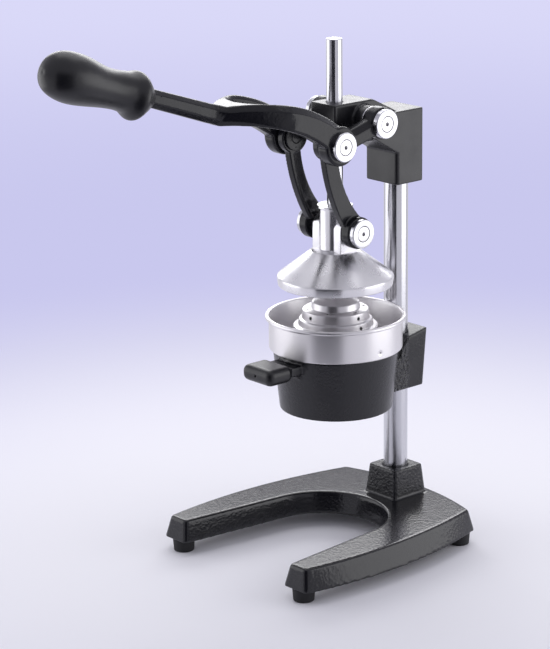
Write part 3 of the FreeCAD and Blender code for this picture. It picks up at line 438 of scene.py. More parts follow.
def profile(*corners):
    """A profile of (radius, height) in millimetres. A third number rounds that corner."""
    spots = []
    for i, corner in enumerate(corners):
        here = Vector(corner[:2])
        if len(corner) < 3:
            spots.append(here)
            continue
        before = (Vector(corners[i - 1][:2]) - here).normalized()
        after = (Vector(corners[(i + 1) % len(corners)][:2]) - here).normalized()
        half = before.angle(after) / 2
        reach = corner[2] / math.tan(half)
        centre = here + (before + after).normalized() * (corner[2] / math.sin(half))
        start, end = here + before * reach - centre, here + after * reach - centre
        sweep = start.angle_signed(end)
        steps = max(3, int(abs(sweep) / math.radians(12)))
        for k in range(steps + 1):
            spots.append(centre + Matrix.Rotation(-sweep * k / steps, 2) @ start)
    return [(s.x * MM, s.y * MM) for s in spots]


PATH_RADIUS = 0.1


def skinned(name, form, grain, rounds, body, slot, node):
    """A finished piece with the skin of a casting or a moulding."""
    return finished(name, cast_skin(form, grain, rounds), body, slot, [node], 60)


def node_tree(name, sockets, result):
    """An empty Geometry Nodes tree with its sockets, and what its inputs give."""
    tree = bpy.data.node_groups.new(name, "GeometryNodeTree")
    for label, kind in sockets:
        tree.interface.new_socket(label, in_out="INPUT", socket_type=f"NodeSocket{kind}")
    tree.interface.new_socket(result, in_out="OUTPUT", socket_type="NodeSocketGeometry")
    return tree, add(tree, "NodeGroupInput").outputs


def turned_tree():
    """Turn the drawn profile and set a copy on each loose point."""
    if "turned piece" in bpy.data.node_groups:
        return bpy.data.node_groups["turned piece"]
    tree, given = node_tree("turned piece", (
        ("Profile and places", "Geometry"), ("Steps", "Int"), ("Turn", "Vector"), ("Both sides", "Bool"),
        ("Socket width", "Float"), ("Socket height", "Float"), ("Socket depth", "Float"),
        ("Finish", "Material")), "Pieces")
    joined = add(tree, "GeometryNodeInputMeshVertexNeighbors").outputs["Vertex Count"]
    loose = add(tree, "FunctionNodeCompare", {2: joined, 3: 0}, data_type="INT", operation="EQUAL")
    parted = add(tree, "GeometryNodeSeparateGeometry", {
        "Geometry": given["Profile and places"], "Selection": loose.outputs[0]}, domain="POINT")
    line = add(tree, "GeometryNodeMeshToCurve", {"Mesh": parted.outputs["Inverted"]})
    path = add(tree, "GeometryNodeCurvePrimitiveCircle", {"Resolution": given["Steps"],
                                                          "Radius": PATH_RADIUS})
    shell = add(tree, "GeometryNodeCurveToMesh", {"Curve": path.outputs[0], "Profile Curve": line.outputs[0]})
    closed = add(tree, "GeometryNodeMergeByDistance", {"Geometry": shell.outputs[0], "Distance": 1e-6})
    key = add(tree, "GeometryNodeMeshCylinder", {
        "Vertices": 6, "Radius": calc(tree, "MULTIPLY", given["Socket width"], 0.5),
        "Depth": calc(tree, "MULTIPLY", given["Socket depth"], 2.0)})
    raised = add(tree, "GeometryNodeTransform", {
        "Geometry": key.outputs["Mesh"],
        "Translation": add(tree, "ShaderNodeCombineXYZ", {"Z": given["Socket height"]}).outputs[0]})
    cut = add(tree, "GeometryNodeMeshBoolean", {"Mesh 1": closed.outputs[0], "Mesh 2": raised.outputs[0]},
              operation="DIFFERENCE")
    wanted = add(tree, "FunctionNodeCompare", {0: given["Socket width"], 1: 0.0}, operation="GREATER_THAN")
    one = add(tree, "GeometryNodeSwitch", {"Switch": wanted.outputs[0], "False": closed.outputs[0],
                                           "True": cut.outputs[0]}, input_type="GEOMETRY")
    where = axes_of(tree, add(tree, "GeometryNodeInputPosition").outputs[0])
    factor = add(tree, "GeometryNodeSwitch", {"Switch": given["Both sides"], "False": 1.0,
                                              "True": calc(tree, "SIGN", where[0])}, input_type="FLOAT")
    euler = add(tree, "ShaderNodeVectorMath", {0: given["Turn"], 3: factor.outputs[0]}, operation="SCALE")
    placed = add(tree, "GeometryNodeInstanceOnPoints", {
        "Points": parted.outputs["Selection"], "Instance": one.outputs[0],
        "Rotation": add(tree, "FunctionNodeEulerToRotation", {0: euler.outputs[0]}).outputs[0]})
    real = add(tree, "GeometryNodeRealizeInstances", {"Geometry": placed.outputs[0]})
    dressed = add(tree, "GeometryNodeSetMaterial", {"Geometry": real.outputs[0], "Material": given["Finish"]})
    add(tree, "NodeGroupOutput", {0: dressed.outputs[0]})
    return tree


def set_inputs(modifier, **values):
    """Set a modifier's inputs, found by name and set by identifier."""
    for item in modifier.node_group.interface.items_tree:
        key = item.name.replace(" ", "_").lower()
        if item.in_out == "INPUT" and key in values:
            modifier[item.identifier] = values.pop(key)
    if values:
        raise ValueError(f"no such input: {list(values)}")


def turned_data(spots, places, slot, closed=False, steps=None, turn=(0, 0, 0), both=False,
                socket=(0.0, 0.0, 0.0)):
    """Mesh of a turned piece, repeated at each place."""
    verts = [(r - PATH_RADIUS, -h, 0) for r, h in spots] + [tuple(p) for p in places]
    edges = [(i, i + 1) for i in range(len(spots) - 1)]
    if closed:
        edges.append((len(spots) - 1, 0))
    data = bpy.data.meshes.new("profile")
    data.from_pydata(verts, edges, [])
    item = link_up("profile", data)
    turning = item.modifiers.new("turning", "NODES")
    turning.node_group = turned_tree()
    set_inputs(turning, steps=steps or press_sizes().turned_steps, turn=turn, both_sides=both,
               socket_width=socket[0], socket_height=socket[1], socket_depth=socket[2],
               finish=finish(slot))
    return applied(item)


LYING = (0.0, math.pi / 2, 0.0)
BACKWARD = (-math.pi / 2, 0.0, 0.0)
FORWARD = (math.pi / 2, 0.0, 0.0)


def turned_piece(name, spots, places, body, slot, nodes, **how):
    """A finished turned piece, repeated at each place."""
    return finished(name, turned_data(spots, places, slot, **how), body, slot, nodes)


ON_AXIS = [(0.0, AXIS, 0.0)]


def at_mm(form, x, spot):
    """A vertex in millimetres: its x, and its (y from the press's axis, z)."""
    return form.verts.new((x * MM, AXIS + spot.x * MM, spot.y * MM))


def tube_through(form, loops):
    """A closed tube through loops of vertices, with a face over each end."""
    for first, last in zip(loops, loops[1:]):
        for i in range(len(first)):
            k = (i + 1) % len(first)
            form.faces.new((first[i], first[k], last[k], last[i]))
    form.faces.new(loops[0])
    form.faces.new(loops[-1][::-1])


def merge_data(*parts):
    """Join meshes into one."""
    form = bmesh.new()
    for part in parts:
        form.from_mesh(part)
    return mesh_of(form, "joined")


def arc_through(a, b, c, count):
    """Points from a to c on the circle through b."""
    a, b, c = Vector(a), Vector(b), Vector(c)
    aa, bb, cc = a.length_squared, b.length_squared, c.length_squared
    d = 2 * (a.x * (b.y - c.y) + b.x * (c.y - a.y) + c.x * (a.y - b.y))
    centre = Vector(((aa * (b.y - c.y) + bb * (c.y - a.y) + cc * (a.y - b.y)) / d,
                     (aa * (c.x - b.x) + bb * (a.x - c.x) + cc * (b.x - a.x)) / d))
    start, via, end = a - centre, b - centre, c - centre
    first, whole = start.angle_signed(via), start.angle_signed(end)
    if (first > 0) != (whole > 0) or abs(first) > abs(whole):
        whole -= math.copysign(2 * math.pi, whole)
    return [centre + Matrix.Rotation(-whole * i / (count - 1), 2) @ start for i in range(count)]


# Pieces


ARM_IN, ARM_OUT = 30.8, 45.3
NECK_HALF = 9.3
SHAFT_RISE = math.radians(19)


def along_shaft(reach, lift):
    """A point of the lever's side view: how far out on the shaft's own axis, and how far above it."""
    return Vector((-140 - reach * math.cos(SHAFT_RISE) + lift * math.sin(SHAFT_RISE),
                   451.3 + reach * math.sin(SHAFT_RISE) + lift * math.cos(SHAFT_RISE)))


def width_at(curve, y, before, after):
    """Half the fork's width at y on a curve of its plan, or its width before or after the curve."""
    if y >= curve[0].x:
        return before
    for a, b in zip(curve, curve[1:]):
        if b.x <= y <= a.x:
            share = (a.x - y) / max(a.x - b.x, 1e-9)
            return a.y + (b.y - a.y) * share
    return after


def add_arm(form, side, boss):
    """One arm of the fork, from its boss to the shaft's neck: eight-sided, with a wide bevel on top."""
    count = 44
    neck = [4 + 3 * k for k in range(1, 6)]
    tops = arc_through(boss + Vector((4, 17)), boss + Vector((-52.5, 44.4)), along_shaft(4, 9.8), count)
    tops += [along_shaft(r, 9.8 - 0.04 * r) for r in neck]
    lows = arc_through(boss + Vector((-8, -8)), boss + Vector((-60, 22)), along_shaft(4, -9.2), count)
    lows += [along_shaft(r, 0.02 * r - 9.3) for r in neck]
    outer_arc = arc_through((-92, ARM_OUT), (-124, 27.2), (-150, NECK_HALF), 60)
    inner_arc = arc_through((-92, ARM_IN), (-113.7, 21.8), (-122.8, 0.01), 60)
    bevel, small, octagon = press_sizes().arm_bevel / MM, 1.8, 5.1
    rows = []
    for i, (top, under) in enumerate(zip(tops, lows)):
        depth = (top - under).length
        down = (under - top) / depth
        in_top, in_low = [width_at(inner_arc, spot.x, ARM_IN, 0.0) for spot in (top, under)]
        out_top, out_low = [width_at(outer_arc, spot.x, ARM_OUT, NECK_HALF) for spot in (top, under)]
        width = out_top - in_top
        # near the neck the section turns into the shaft's even octagon
        even = min(max((i / (count + 3) - 0.55) / 0.4, 0.0), 1.0)
        even *= even * (3 - 2 * even)
        wide = min(bevel + (octagon - bevel) * even, width * 0.55)
        foot = small + (octagon - small) * even
        slim, heel = (0.0, 0.0) if in_top < 0.5 else (min(3.2, width * 0.3), small)
        section = ((in_top, slim), (in_top + slim, 0), (out_top - wide, 0), (out_top, wide),
                   (out_low, depth - foot), (out_low - foot, depth), (in_low + heel, depth),
                   (in_low, depth - heel))
        rows.append([at_mm(form, side * x, top + down * d) for x, d in section])
    tube_through(form, rows)


def add_crank(form, side, boss, crank):
    """The bar from a boss to the eye on the head's axle, and the two round eyes."""
    lean = (crank - boss).normalized()
    up = Vector((-lean.y, lean.x))
    section = ((ARM_IN, 6.5), (32.8, 8.5), (39.8, 8.5), (ARM_OUT, 3), (ARM_OUT, -7), (43.8, -8.5),
               (32.3, -8.5), (ARM_IN, -7))
    tube_through(form, [[at_mm(form, side * x, end + up * d) for x, d in section] for end in (boss, crank)])
    start = ARM_IN if side > 0 else -ARM_OUT
    turns = [2 * math.pi * k / 96 for k in range(96)]
    for centre, radius in ((boss, 19.0), (crank, 15.5)):
        edge = [(radius - 2.2, 0.0), (radius - 0.65, 0.65), (radius, 2.2)]
        layers = edge + [(r, ARM_OUT - ARM_IN - h) for r, h in reversed(edge)]
        tube_through(form, [[at_mm(form, start + h, centre + Vector((r * math.cos(t), r * math.sin(t))))
                             for t in turns] for r, h in layers])


def add_shaft(form):
    """The shaft: eight-sided, square to its own axis, and slimmer towards the grip."""
    loops = []
    for reach in (16.0, 120.0):
        half = (18.6 + (15.8 - 18.6) * reach / 150) / 2
        cut = half * 0.45
        ring = ((half, cut), (cut, half), (-cut, half), (-half, cut),
                (-half, -cut), (-cut, -half), (cut, -half), (half, -cut))
        loops.append([at_mm(form, x, along_shaft(reach, lift)) for x, lift in ring])
    tube_through(form, loops)


def lever_form():
    """The lever: two arms that close into one shaft, with their bosses and cranks."""
    form = bmesh.new()
    boss, crank = [Vector(((middle(node).y - AXIS) / MM, middle(node).z / MM))
                   for node in ("lever_pins", "head_axle")]
    for side in (1, -1):
        add_arm(form, side, boss)
        add_crank(form, side, boss, crank)
    add_shaft(form)
    outward(form)
    return form


class PRESS_OT_castings(bpy.types.Operator):
    """Base, head and pot, with the soft edges of painted castings"""
    bl_idname = "press.castings"
    bl_label = "Castings"

    def execute(self, context):
        grain = press_sizes().cast_grain
        for name, cell, rounds in (("base", press_sizes().base_grain, 7), ("head", grain, 3),
                                   ("pot", grain * 1.15, 3)):
            node = f"{name}_casting"
            skinned(name, cad_form(node), cell, rounds, "stand", f"{name}_paint", node)
        return {"FINISHED"}


class PRESS_OT_lever(bpy.types.Operator):
    """Cast lever and its moulded grip"""
    bl_idname = "press.lever"
    bl_label = "Lever"

    def execute(self, context):
        grain = press_sizes().cast_grain
        skinned("lever", lever_form(), grain, 4, "lever", "lever_paint", "lever_casting")
        skinned("lever_grip_skin", cad_form("lever_grip"), grain, 3, "lever", "grip_plastic", "lever_grip")
        return {"FINISHED"}


class PRESS_OT_links(bpy.types.Operator):
    """The two bowed links"""
    bl_idname = "press.links"
    bl_label = "Links"

    def execute(self, context):
        grain = press_sizes().cast_grain * 0.8
        for node in ("link_right", "link_left"):
            skinned(f"{node}_skin", cad_form(node), grain, 2, "links", "lever_paint", node)
        return {"FINISHED"}


class PRESS_OT_strainer(bpy.types.Operator):
    """Spun pan with its rolled rim, the skirt under it and the perforated dome"""
    bl_idname = "press.strainer"
    bl_label = "Strainer"

    def execute(self, context):
        bead = press_sizes().pan_bead / MM
        wall, sheet, throat = 65.2, 1.2, 38.5
        floor = low("strainer_pan").z / MM
        rim = high("strainer_pan").z / MM - bead
        centre = high("strainer_pan").x / MM - bead
        start = math.pi + math.asin(math.sqrt(bead ** 2 - (centre - wall) ** 2) / bead)
        turns = [start + (3 * math.pi - start) * i / 22 for i in range(23)]
        roll = [(centre + bead * math.cos(t), rim + bead * math.sin(t)) for t in turns]
        pan = profile((throat, floor), (wall, floor, 1.5), *roll, (wall - sheet, rim - 1.4),
                      (wall - sheet, floor + sheet, 1.0), (throat, floor + sheet))
        turned_piece("pan", pan, ON_AXIS, "strainer", "pan_steel", ["strainer_pan"], closed=True, steps=192)
        skirt = low("pan_skirt").z / MM
        outer = high("pan_skirt").x / MM
        ring = profile((outer - sheet, skirt), (outer, skirt), (outer, floor), (outer - sheet, floor))
        turned_piece("skirt", ring, ON_AXIS, "strainer", "pan_steel", ["pan_skirt"], closed=True)
        foot = floor + sheet
        outside = [(41.5, foot), (41.5, 227, 1.6), (36.6, 228.0, 1.0), (35.7, 233.6, 1.6), (33.0, 234.6, 0.8),
                   (32.4, 243.2, 1.6), (23.8, 244.2, 1.0), (23, 250.6, 1.6), (12, 254.2, 9), (0, 255)]
        inside = [(max(p[0] - sheet, 0), p[1] - sheet, *p[2:]) for p in reversed(outside[1:])]
        shell = profile(*outside, *inside, (41.5 - sheet, foot))
        dome = turned_data(shell, ON_AXIS, "pan_steel", closed=True)
        finished("dome", perforated(dome), "strainer", "pan_steel", ["strainer_dome"])
        return {"FINISHED"}


def perforation_tree():
    """Drill a ring of round holes: sideways through a wall, or upright through a ledge."""
    if "ring of holes" in bpy.data.node_groups:
        return bpy.data.node_groups["ring of holes"]
    tree, given = node_tree("ring of holes", (
        ("Shell", "Geometry"), ("Holes", "Int"), ("Hole radius", "Float"), ("Centre", "Vector"),
        ("Ring radius", "Float"), ("Length", "Float"), ("Tilt", "Float"), ("Finish", "Material")), "Shell")
    circle = add(tree, "GeometryNodeMeshCircle", {"Vertices": given["Holes"], "Radius": given["Ring radius"]})
    share = calc(tree, "DIVIDE", add(tree, "GeometryNodeInputIndex").outputs[0], given["Holes"])
    turn = add(tree, "ShaderNodeCombineXYZ", {"Y": given["Tilt"],
                                              "Z": calc(tree, "MULTIPLY", share, 2 * math.pi)})
    drill = add(tree, "GeometryNodeMeshCylinder", {"Vertices": 24, "Radius": given["Hole radius"],
                                                   "Depth": given["Length"]})
    drills = add(tree, "GeometryNodeInstanceOnPoints", {
        "Points": circle.outputs[0], "Instance": drill.outputs["Mesh"],
        "Rotation": add(tree, "FunctionNodeEulerToRotation", {0: turn.outputs[0]}).outputs[0]})
    real = add(tree, "GeometryNodeRealizeInstances", {"Geometry": drills.outputs[0]})
    moved = add(tree, "GeometryNodeTransform", {"Geometry": real.outputs[0], "Translation": given["Centre"]})
    cut = add(tree, "GeometryNodeMeshBoolean", {"Mesh 1": given["Shell"], "Mesh 2": moved.outputs[0]},
              operation="DIFFERENCE")
    solid = add(tree, "GeometryNodeRealizeInstances", {"Geometry": cut.outputs[0]})
    dressed = add(tree, "GeometryNodeSetMaterial", {"Geometry": solid.outputs[0], "Material": given["Finish"]})
    add(tree, "NodeGroupOutput", {0: dressed.outputs[0]})
    return tree


def perforated(data):
    """The dome's shell with its three rings of holes."""
    form = bmesh.new()
    form.from_mesh(data)
    outward(form)
    item = link_up("dome_shell", mesh_of(form, "dome_shell"))
    count, length = press_sizes().hole_count, 8.0
    sideways, upright = math.pi / 2, 0.0
    drilled = ((count, 229.6, 36.4, sideways), (count // 3, 238.6, 32.6, sideways),
               (count // 2, 243.0, 27.7, upright))
    for holes, height, radius, tilt in drilled:
        drilling = item.modifiers.new("drilling", "NODES")
        drilling.node_group = perforation_tree()
        set_inputs(drilling, holes=holes, hole_radius=press_sizes().hole_radius,
                   centre=(0.0, AXIS, height * MM), ring_radius=radius * MM, length=length * MM,
                   tilt=tilt, finish=finish("pan_steel"))
    return applied(item)


class PRESS_OT_cone(bpy.types.Operator):
    """Turned press cone with its neck and lugs, and the guide rod"""
    bl_idname = "press.cone"
    bl_label = "Cone and rod"

    def execute(self, context):
        neck_top = high("press_cone").z / MM
        lip = low("press_cone").z / MM
        body = turned_data(profile(
            (0, 300), (7.9, 300), (7.9, neck_top), (17.5, neck_top, 0.7), (17.5, neck_top - 2.4, 0.5),
            (15.5, neck_top - 3.2, 0.8), (15.5, 303.2, 1.6), (23.5, 302, 2.2), (56.8, 276.4, 2.6),
            (55.7, lip, 1.2), (51.1, lip, 0.8), (51.1, 274.8), (20.5, 296, 3), (0, 296),
        ), ON_AXIS, "cone_alloy", steps=192)
        finished("cone", merge_data(body, self.lugs()), "press", "cone_alloy", ["press_cone"])
        top = high("guide_rod").z / MM
        rod = profile((0, 300), (7.85, 300), (7.85, top, 1.0), (0, top))
        turned_piece("rod", rod, ON_AXIS, "press", "rod_chrome", ["guide_rod"])
        return {"FINISHED"}

    def lugs(self):
        """The two lugs, round at the pivot, with their edges trimmed."""
        half, steps, foot, thick = 11.5, 40, 298.5, 10.3
        pivot = middle("press_pins").z / MM
        turns = [math.pi * i / steps for i in range(steps + 1)]
        outline = [Vector((half * math.cos(t), pivot + half * math.sin(t))) for t in turns]
        outline += [Vector((-half, foot)), Vector((half, foot))]
        form = bmesh.new()
        for start in (10.0, -20.3):
            tube_through(form, [[at_mm(form, x, spot) for spot in outline] for x in (start, start + thick)])
        outward(form)
        item = link_up("lugs", mesh_of(form, "lugs"))
        trim = item.modifiers.new("trim", "BEVEL")
        trim.width = 0.7 * MM
        trim.segments = 3
        trim.limit_method = "ANGLE"
        trim.angle_limit = math.radians(50)
        return applied(item)


class PRESS_OT_column(bpy.types.Operator):
    """Chromed column, the bush in the head and the set screws"""
    bl_idname = "press.column"
    bl_label = "Column"

    def execute(self, context):
        outer = (high("column").x - low("column").x) / 2 / MM
        bottom, top = low("column").z / MM, high("column").z / MM
        tube = profile((outer - 3, bottom), (outer, bottom, 0.8), (outer, top, 0.8), (outer - 3, top))
        turned_piece("tube", tube, [(0.0, middle("column").y, 0.0)], "stand", "column_chrome", ["column"],
                     closed=True, steps=192)
        bottom, top = low("rod_bush").z / MM, high("rod_bush").z / MM
        bush = profile((7.9, bottom, 0.4), (10.5, bottom, 0.4), (10.5, top), (7.9, top))
        turned_piece("bush", bush, ON_AXIS, "stand", "bush_bronze", ["rod_bush"], closed=True)
        radius = 4
        for node, count in (("base_set_screw", 1), ("pot_set_screw", 1), ("head_set_screws", 2)):
            heights = [low(node).z + radius * MM, high(node).z - radius * MM][:count]
            length = (high(node).y - low(node).y) / MM
            screw = profile((0, 0), (radius - 1, 0), (radius, 1), (radius, length, 0.5), (0, length))
            places = [(0.0, low(node).y, z) for z in heights]
            turned_piece(f"{node}_turned", screw, places, "stand", "screw_steel", [node], steps=48,
                         turn=BACKWARD, socket=(4.5 * MM, length * MM, 3 * MM))
        return {"FINISHED"}


class PRESS_OT_feet(bpy.types.Operator):
    """The four rubber feet and their screws"""
    bl_idname = "press.feet"
    bl_label = "Feet"

    def execute(self, context):
        feet = ["foot_front_right", "foot_front_left", "foot_rear_right", "foot_rear_left"]
        places = [(middle(n).x, middle(n).y, 0.0) for n in feet]
        foot = profile((2.55, 4), (5, 4), (5, 0, 0.5), (10, 0, 1.2), (11, 13, 0.8), (2.55, 13))
        turned_piece("feet", foot, places, "stand", "foot_rubber", feet, closed=True, steps=72)
        screw = profile((0, 1), (4.5, 1, 0.6), (4.5, 4), (2.5, 4), (2.5, 22, 0.5), (0, 22))
        turned_piece("screws_of_feet", screw, places, "stand", "screw_steel", ["foot_screws"], steps=48,
                     socket=(3.4 * MM, 1 * MM, 1.6 * MM))
        return {"FINISHED"}


class PRESS_OT_pot_grip(bpy.types.Operator):
    """Moulded grip of the pot and the screw in it"""
    bl_idname = "press.pot_grip"
    bl_label = "Pot grip"

    def execute(self, context):
        skinned("pot_grip_skin", self.grip(), press_sizes().cast_grain * 0.75, 2, "stand", "grip_plastic",
                "pot_grip")
        node = "pot_grip_screw"
        length = (high(node).y - low(node).y) / MM
        screw = profile((0, 0), (2, 0), (2, length, 0.4), (0, length))
        turned_piece("pot_grip_stud", screw, [(0.0, high(node).y, middle(node).z)], "stand", "screw_steel",
                     [node], steps=32, turn=FORWARD, socket=(2.2 * MM, length * MM, 2 * MM))
        return {"FINISHED"}

    def grip(self):
        """The grip's block with its round edges and the hole for its screw."""
        centre = Matrix.Translation(middle("pot_grip"))
        size = high("pot_grip") - low("pot_grip")
        bore = 1.2 * MM
        block = bmesh.new()
        bmesh.ops.create_cube(block, size=1.0)
        block.transform(centre @ Matrix.Diagonal((*size, 1)))
        bmesh.ops.bevel(block, geom=block.edges, offset=6.5 * MM, segments=6, profile=0.5, affect="EDGES")
        item = link_up("block", mesh_of(block, "block"))
        drill = bmesh.new()
        bmesh.ops.create_cone(drill, cap_ends=True, segments=32, radius1=bore, radius2=bore,
                              depth=size.y * 2, matrix=centre @ Matrix.Rotation(math.pi / 2, 4, "X"))
        tool = link_up("bore", mesh_of(drill, "bore"))
        cut = item.modifiers.new("bore", "BOOLEAN")
        cut.object = tool
        cut.solver = "EXACT"
        form = bmesh.new()
        form.from_mesh(applied(item))
        bpy.data.objects.remove(tool)
        return form


def lying_pair(name, spots, centre, start, body, slot, node, **how):
    """A turned piece on each side of the press, lying, drawn from its start outwards."""
    places = [(start, centre.y, centre.z), (-start, centre.y, centre.z)]
    turned_piece(name, spots, places, body, slot, [node], turn=LYING, both=True, **how)


class PRESS_OT_pivots(bpy.types.Operator):
    """Axle, pins, washers, rings, caps and cap screws of the three pivots"""
    bl_idname = "press.pivots"
    bl_label = "Pivots"

    def execute(self, context):
        cap = profile((3.55, 0), (14, 0), (14, 5, 1.1), (7.9, 5, 0.25), (7.9, 4.2), (3.55, 1))
        screw = profile((0, -15), (3.5, -15), (3.5, 1), (7.2, 4.1), (7.2, 4.8, 0.25), (4.1, 4.8), (3.9, 4.6),
                        (3.7, 4.8), (0, 4.8))
        for pivot, body in (("head", "stand"), ("lever", "lever"), ("press", "press")):
            caps = f"{pivot}_pivot_caps"
            centre, face = middle(caps), high(caps).x - 5 * MM
            lying_pair(f"{pivot}_caps", cap, centre, face, body, "cap_chrome", caps, closed=True, steps=96)
            lying_pair(f"{pivot}_cap_screws", screw, centre, face, body, "screw_steel",
                       f"{pivot}_pivot_screws", steps=96, socket=(4.5 * MM, 4.8 * MM, 3 * MM))
        end, thread = high("head_axle").x / MM, 14
        axle = profile((0, -end + thread), (3.55, -end + thread), (3.55, -end), (6, -end),
                       (6, end), (3.55, end), (3.55, end - thread), (0, end - thread))
        spot = middle("head_axle")
        turned_piece("axle", axle, [(0.0, spot.y, spot.z)], "stand", "pin_steel", ["head_axle"],
                     steps=72, turn=LYING)
        washer = profile((6.05, 0, 0.3), (14.5, 0, 0.3), (14.5, 1.5, 0.3), (6.05, 1.5, 0.3))
        ring = profile((6.05, 0, 0.4), (13, 0, 0.5), (13, 1.6, 0.3), (6.05, 1.6, 0.3))
        for node, spots, body, slot in (("head_washers", washer, "stand", "screw_steel"),
                                        ("lever_retainers", ring, "lever", "lever_paint")):
            lying_pair(f"{node}_turned", spots, middle(node), low_x(node), body, slot, node,
                       closed=True, steps=72)
        for node, body, slot in (("lever_pins", "lever", "lever_paint"), ("press_pins", "press", "pin_steel")):
            begin = low_x(node)
            length = (high(node).x - begin) / MM
            pin = profile((0, 0), (6, 0, 0.8), (6, length), (3.55, length), (3.55, length - 16),
                          (0, length - 16))
            lying_pair(f"{node}_turned", pin, middle(node), begin, body, slot, node, steps=72)
        return {"FINISHED"}


def low_x(node):
    """Inner end of the right-hand one of a mirrored pair."""
    return min(v.co.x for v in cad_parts[node].data.vertices if v.co.x > 0)


# Stage


def around(azimuth, distance, height):
    """A point round the press, with the azimuth counted as the camera's is."""
    turn = math.radians(azimuth)
    return Vector((math.sin(turn) * distance, AXIS - math.cos(turn) * distance, height))


def softbox(name, azimuth, distance, height, width, tall, radiance):
    """A lamp whose face gives the same light all over, aimed level at the press."""
    lamp = bpy.data.lights.new(name, "AREA")
    lamp.shape = "RECTANGLE"
    lamp.size, lamp.size_y = width, tall
    lamp.energy = radiance * math.pi * width * tall
    item = bpy.data.objects.new(name, lamp)
    item.location = around(azimuth, distance, height)
    aim = around(azimuth, 0, height) - item.location
    item.rotation_euler = aim.to_track_quat("-Z", "Y").to_euler()
    item.visible_camera = False
    bpy.context.scene.collection.objects.link(item)
    return item


CAMERA = 49.0


def seen_rays(tree):
    """1 for glossy rays, and 1 for all rays that show the background."""
    path = add(tree, "ShaderNodeLightPath").outputs
    glossy = path["Is Glossy Ray"]
    passing = calc(tree, "MAXIMUM", glossy, path["Is Transmission Ray"])
    return glossy, calc(tree, "MAXIMUM", path["Is Camera Ray"], passing)


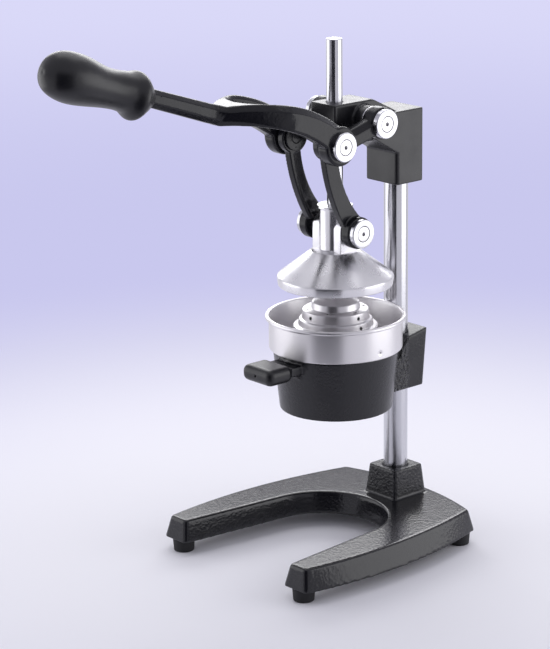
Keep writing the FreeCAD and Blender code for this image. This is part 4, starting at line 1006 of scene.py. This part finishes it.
class PRESS_OT_stage(bpy.types.Operator):
    """Floor, lamps and camera"""
    bl_idname = "press.stage"
    bl_label = "Stage"

    def execute(self, context):
        scene = context.scene
        self.floor()
        self.air(scene)
        softbox("softbox_right", CAMERA + 82, 1.0, 0.42, 0.9, 0.8, 1.6)
        softbox("softbox_back", CAMERA + 180, 1.5, 1.02, 1.7, 0.64, 4.0)
        softbox("softbox_low", CAMERA + 202, 1.5, 0.45, 0.8, 0.26, 1.1)
        softbox("softbox_left", CAMERA - 98, 1.0, 0.42, 0.9, 0.8, 1.15)
        top = softbox("softbox_top", CAMERA + 180, 0.5, 1.5, 1.2, 0.9, 1.3)
        top.rotation_euler = (Vector((0, AXIS, 0.3)) - top.location).to_track_quat("-Z", "Y").to_euler()
        self.flag()
        self.camera(scene)
        scene.view_settings.view_transform = "Standard"
        return {"FINISHED"}

    def floor(self):
        """A pale paper floor that runs on into the background."""
        form = bmesh.new()
        bmesh.ops.create_grid(form, x_segments=1, y_segments=1, size=30.0)
        floor = link_up("floor", mesh_of(form, "floor"))
        paper, tree, shader, place = surface("pale paper", press_colours().floor, 0.9)
        shader.inputs["Specular IOR Level"].default_value = 0.1
        away = add(tree, "ShaderNodeVectorMath", {0: place, 1: (0.0, AXIS, 0.0)},
                   operation="DISTANCE").outputs["Value"]
        tint, lift, share = [ramp(tree, away, start, end, kind="SMOOTHSTEP")
                             for start, end in ((0.25, 1.1), (1.4, 3.6), (0.3, 0.8))]
        further = mixed(tree, tint, press_colours().floor, press_colours().far_floor)
        far = mixed(tree, lift, further, linear("#DAD9F8"))
        tree.links.new(far, shader.inputs["Base Color"])
        glossy, seen = seen_rays(tree)
        glow = add(tree, "ShaderNodeEmission", {"Color": mixed(tree, glossy, far, linear("#E3E2EA")),
                                                "Strength": 1.0})
        mix = add(tree, "ShaderNodeMixShader", {0: calc(tree, "MULTIPLY", seen, share),
                                                1: shader.outputs[0], 2: glow.outputs[0]})
        tree.links.new(mix.outputs[0], tree.nodes["Material Output"].inputs["Surface"])
        floor.data.materials.append(paper)

    def air(self, scene):
        """Even light from all round, and the pale lilac that metal shows."""
        world = bpy.data.worlds.new("studio")
        world.use_nodes = True
        scene.world = world
        tree = world.node_tree
        even = add(tree, "ShaderNodeBackground", {"Color": linear("#E9E9F4"), "Strength": 0.6})
        shown = add(tree, "ShaderNodeBackground", {"Color": linear("#E2E1EC"), "Strength": 0.75})
        mix = add(tree, "ShaderNodeMixShader", {0: seen_rays(tree)[1], 1: even.outputs[0],
                                                2: shown.outputs[0]})
        tree.links.new(mix.outputs[0], tree.nodes["World Output"].inputs["Surface"])

    def flag(self):
        """A curved black cloth beside the camera, which only gloss can show."""
        form = bmesh.new()
        steps, start, sweep, distance, tall = 24, CAMERA - 40, 50, 0.5, 0.62
        lower, upper = [[form.verts.new(around(start + sweep * i / steps, distance, height))
                         for i in range(steps + 1)] for height in (0.0, tall)]
        for i in range(steps):
            form.faces.new((lower[i], lower[i + 1], upper[i + 1], upper[i]))
        data = mesh_of(form, "dark_flag")
        cloth, tree, shader, place = surface("black cloth", linear("#242428"), 1.0)
        shader.inputs["Specular IOR Level"].default_value = 0.0
        data.materials.append(cloth)
        flag = link_up("dark_flag", data)
        for ray in ("camera", "diffuse", "transmission", "volume_scatter", "shadow"):
            setattr(flag, f"visible_{ray}", False)

    def camera(self, scene):
        """The camera of the photograph, solved from the press's circles and upright lines."""
        focal_pixels, photo_width, sensor, roll = 2469.98, 550, 36, -0.71
        lens = bpy.data.cameras.new("camera")
        lens.sensor_fit = "HORIZONTAL"
        lens.sensor_width = sensor
        lens.lens = sensor * focal_pixels / photo_width
        item = bpy.data.objects.new("camera", lens)
        place = Vector((1.70398, -1.56151 + AXIS, 0.89062))
        look = Vector((-0.09013, 0.00023 + AXIS, 0.20739)) - place
        turn = look.to_track_quat("-Z", "Y").to_matrix().to_4x4()
        item.matrix_world = Matrix.Translation(place) @ turn @ Matrix.Rotation(math.radians(roll), 4, "Z")
        scene.collection.objects.link(item)
        scene.camera = item


class PRESS_PT_panel(bpy.types.Panel):
    """Sizes, colours and the steps that build the press"""
    bl_idname = "PRESS_PT_panel"
    bl_label = "Lever citrus press"
    bl_space_type = "VIEW_3D"
    bl_region_type = "UI"
    bl_category = "Press"

    def draw(self, context):
        for group in (press_sizes(), press_colours()):
            for key in group.__annotations__:
                self.layout.prop(group, key)
        for kind in STEPS:
            self.layout.operator(kind.bl_idname)


STEPS = (PRESS_OT_castings, PRESS_OT_lever, PRESS_OT_links, PRESS_OT_strainer, PRESS_OT_cone,
         PRESS_OT_column, PRESS_OT_feet, PRESS_OT_pot_grip, PRESS_OT_pivots, PRESS_OT_stage)
CLASSES = (PressSizes, PressColours, *STEPS, PRESS_PT_panel)


def register():
    for kind in CLASSES:
        bpy.utils.register_class(kind)
    bpy.types.Scene.press_sizes = PointerProperty(type=PressSizes)
    bpy.types.Scene.press_colours = PointerProperty(type=PressColours)


def unregister():
    del bpy.types.Scene.press_colours
    del bpy.types.Scene.press_sizes
    for kind in reversed(CLASSES):
        bpy.utils.unregister_class(kind)


def main():
    register()
    for kind in STEPS:
        group, name = kind.bl_idname.split(".")
        getattr(getattr(bpy.ops, group), name)()


if __name__ == "__main__":
    main()
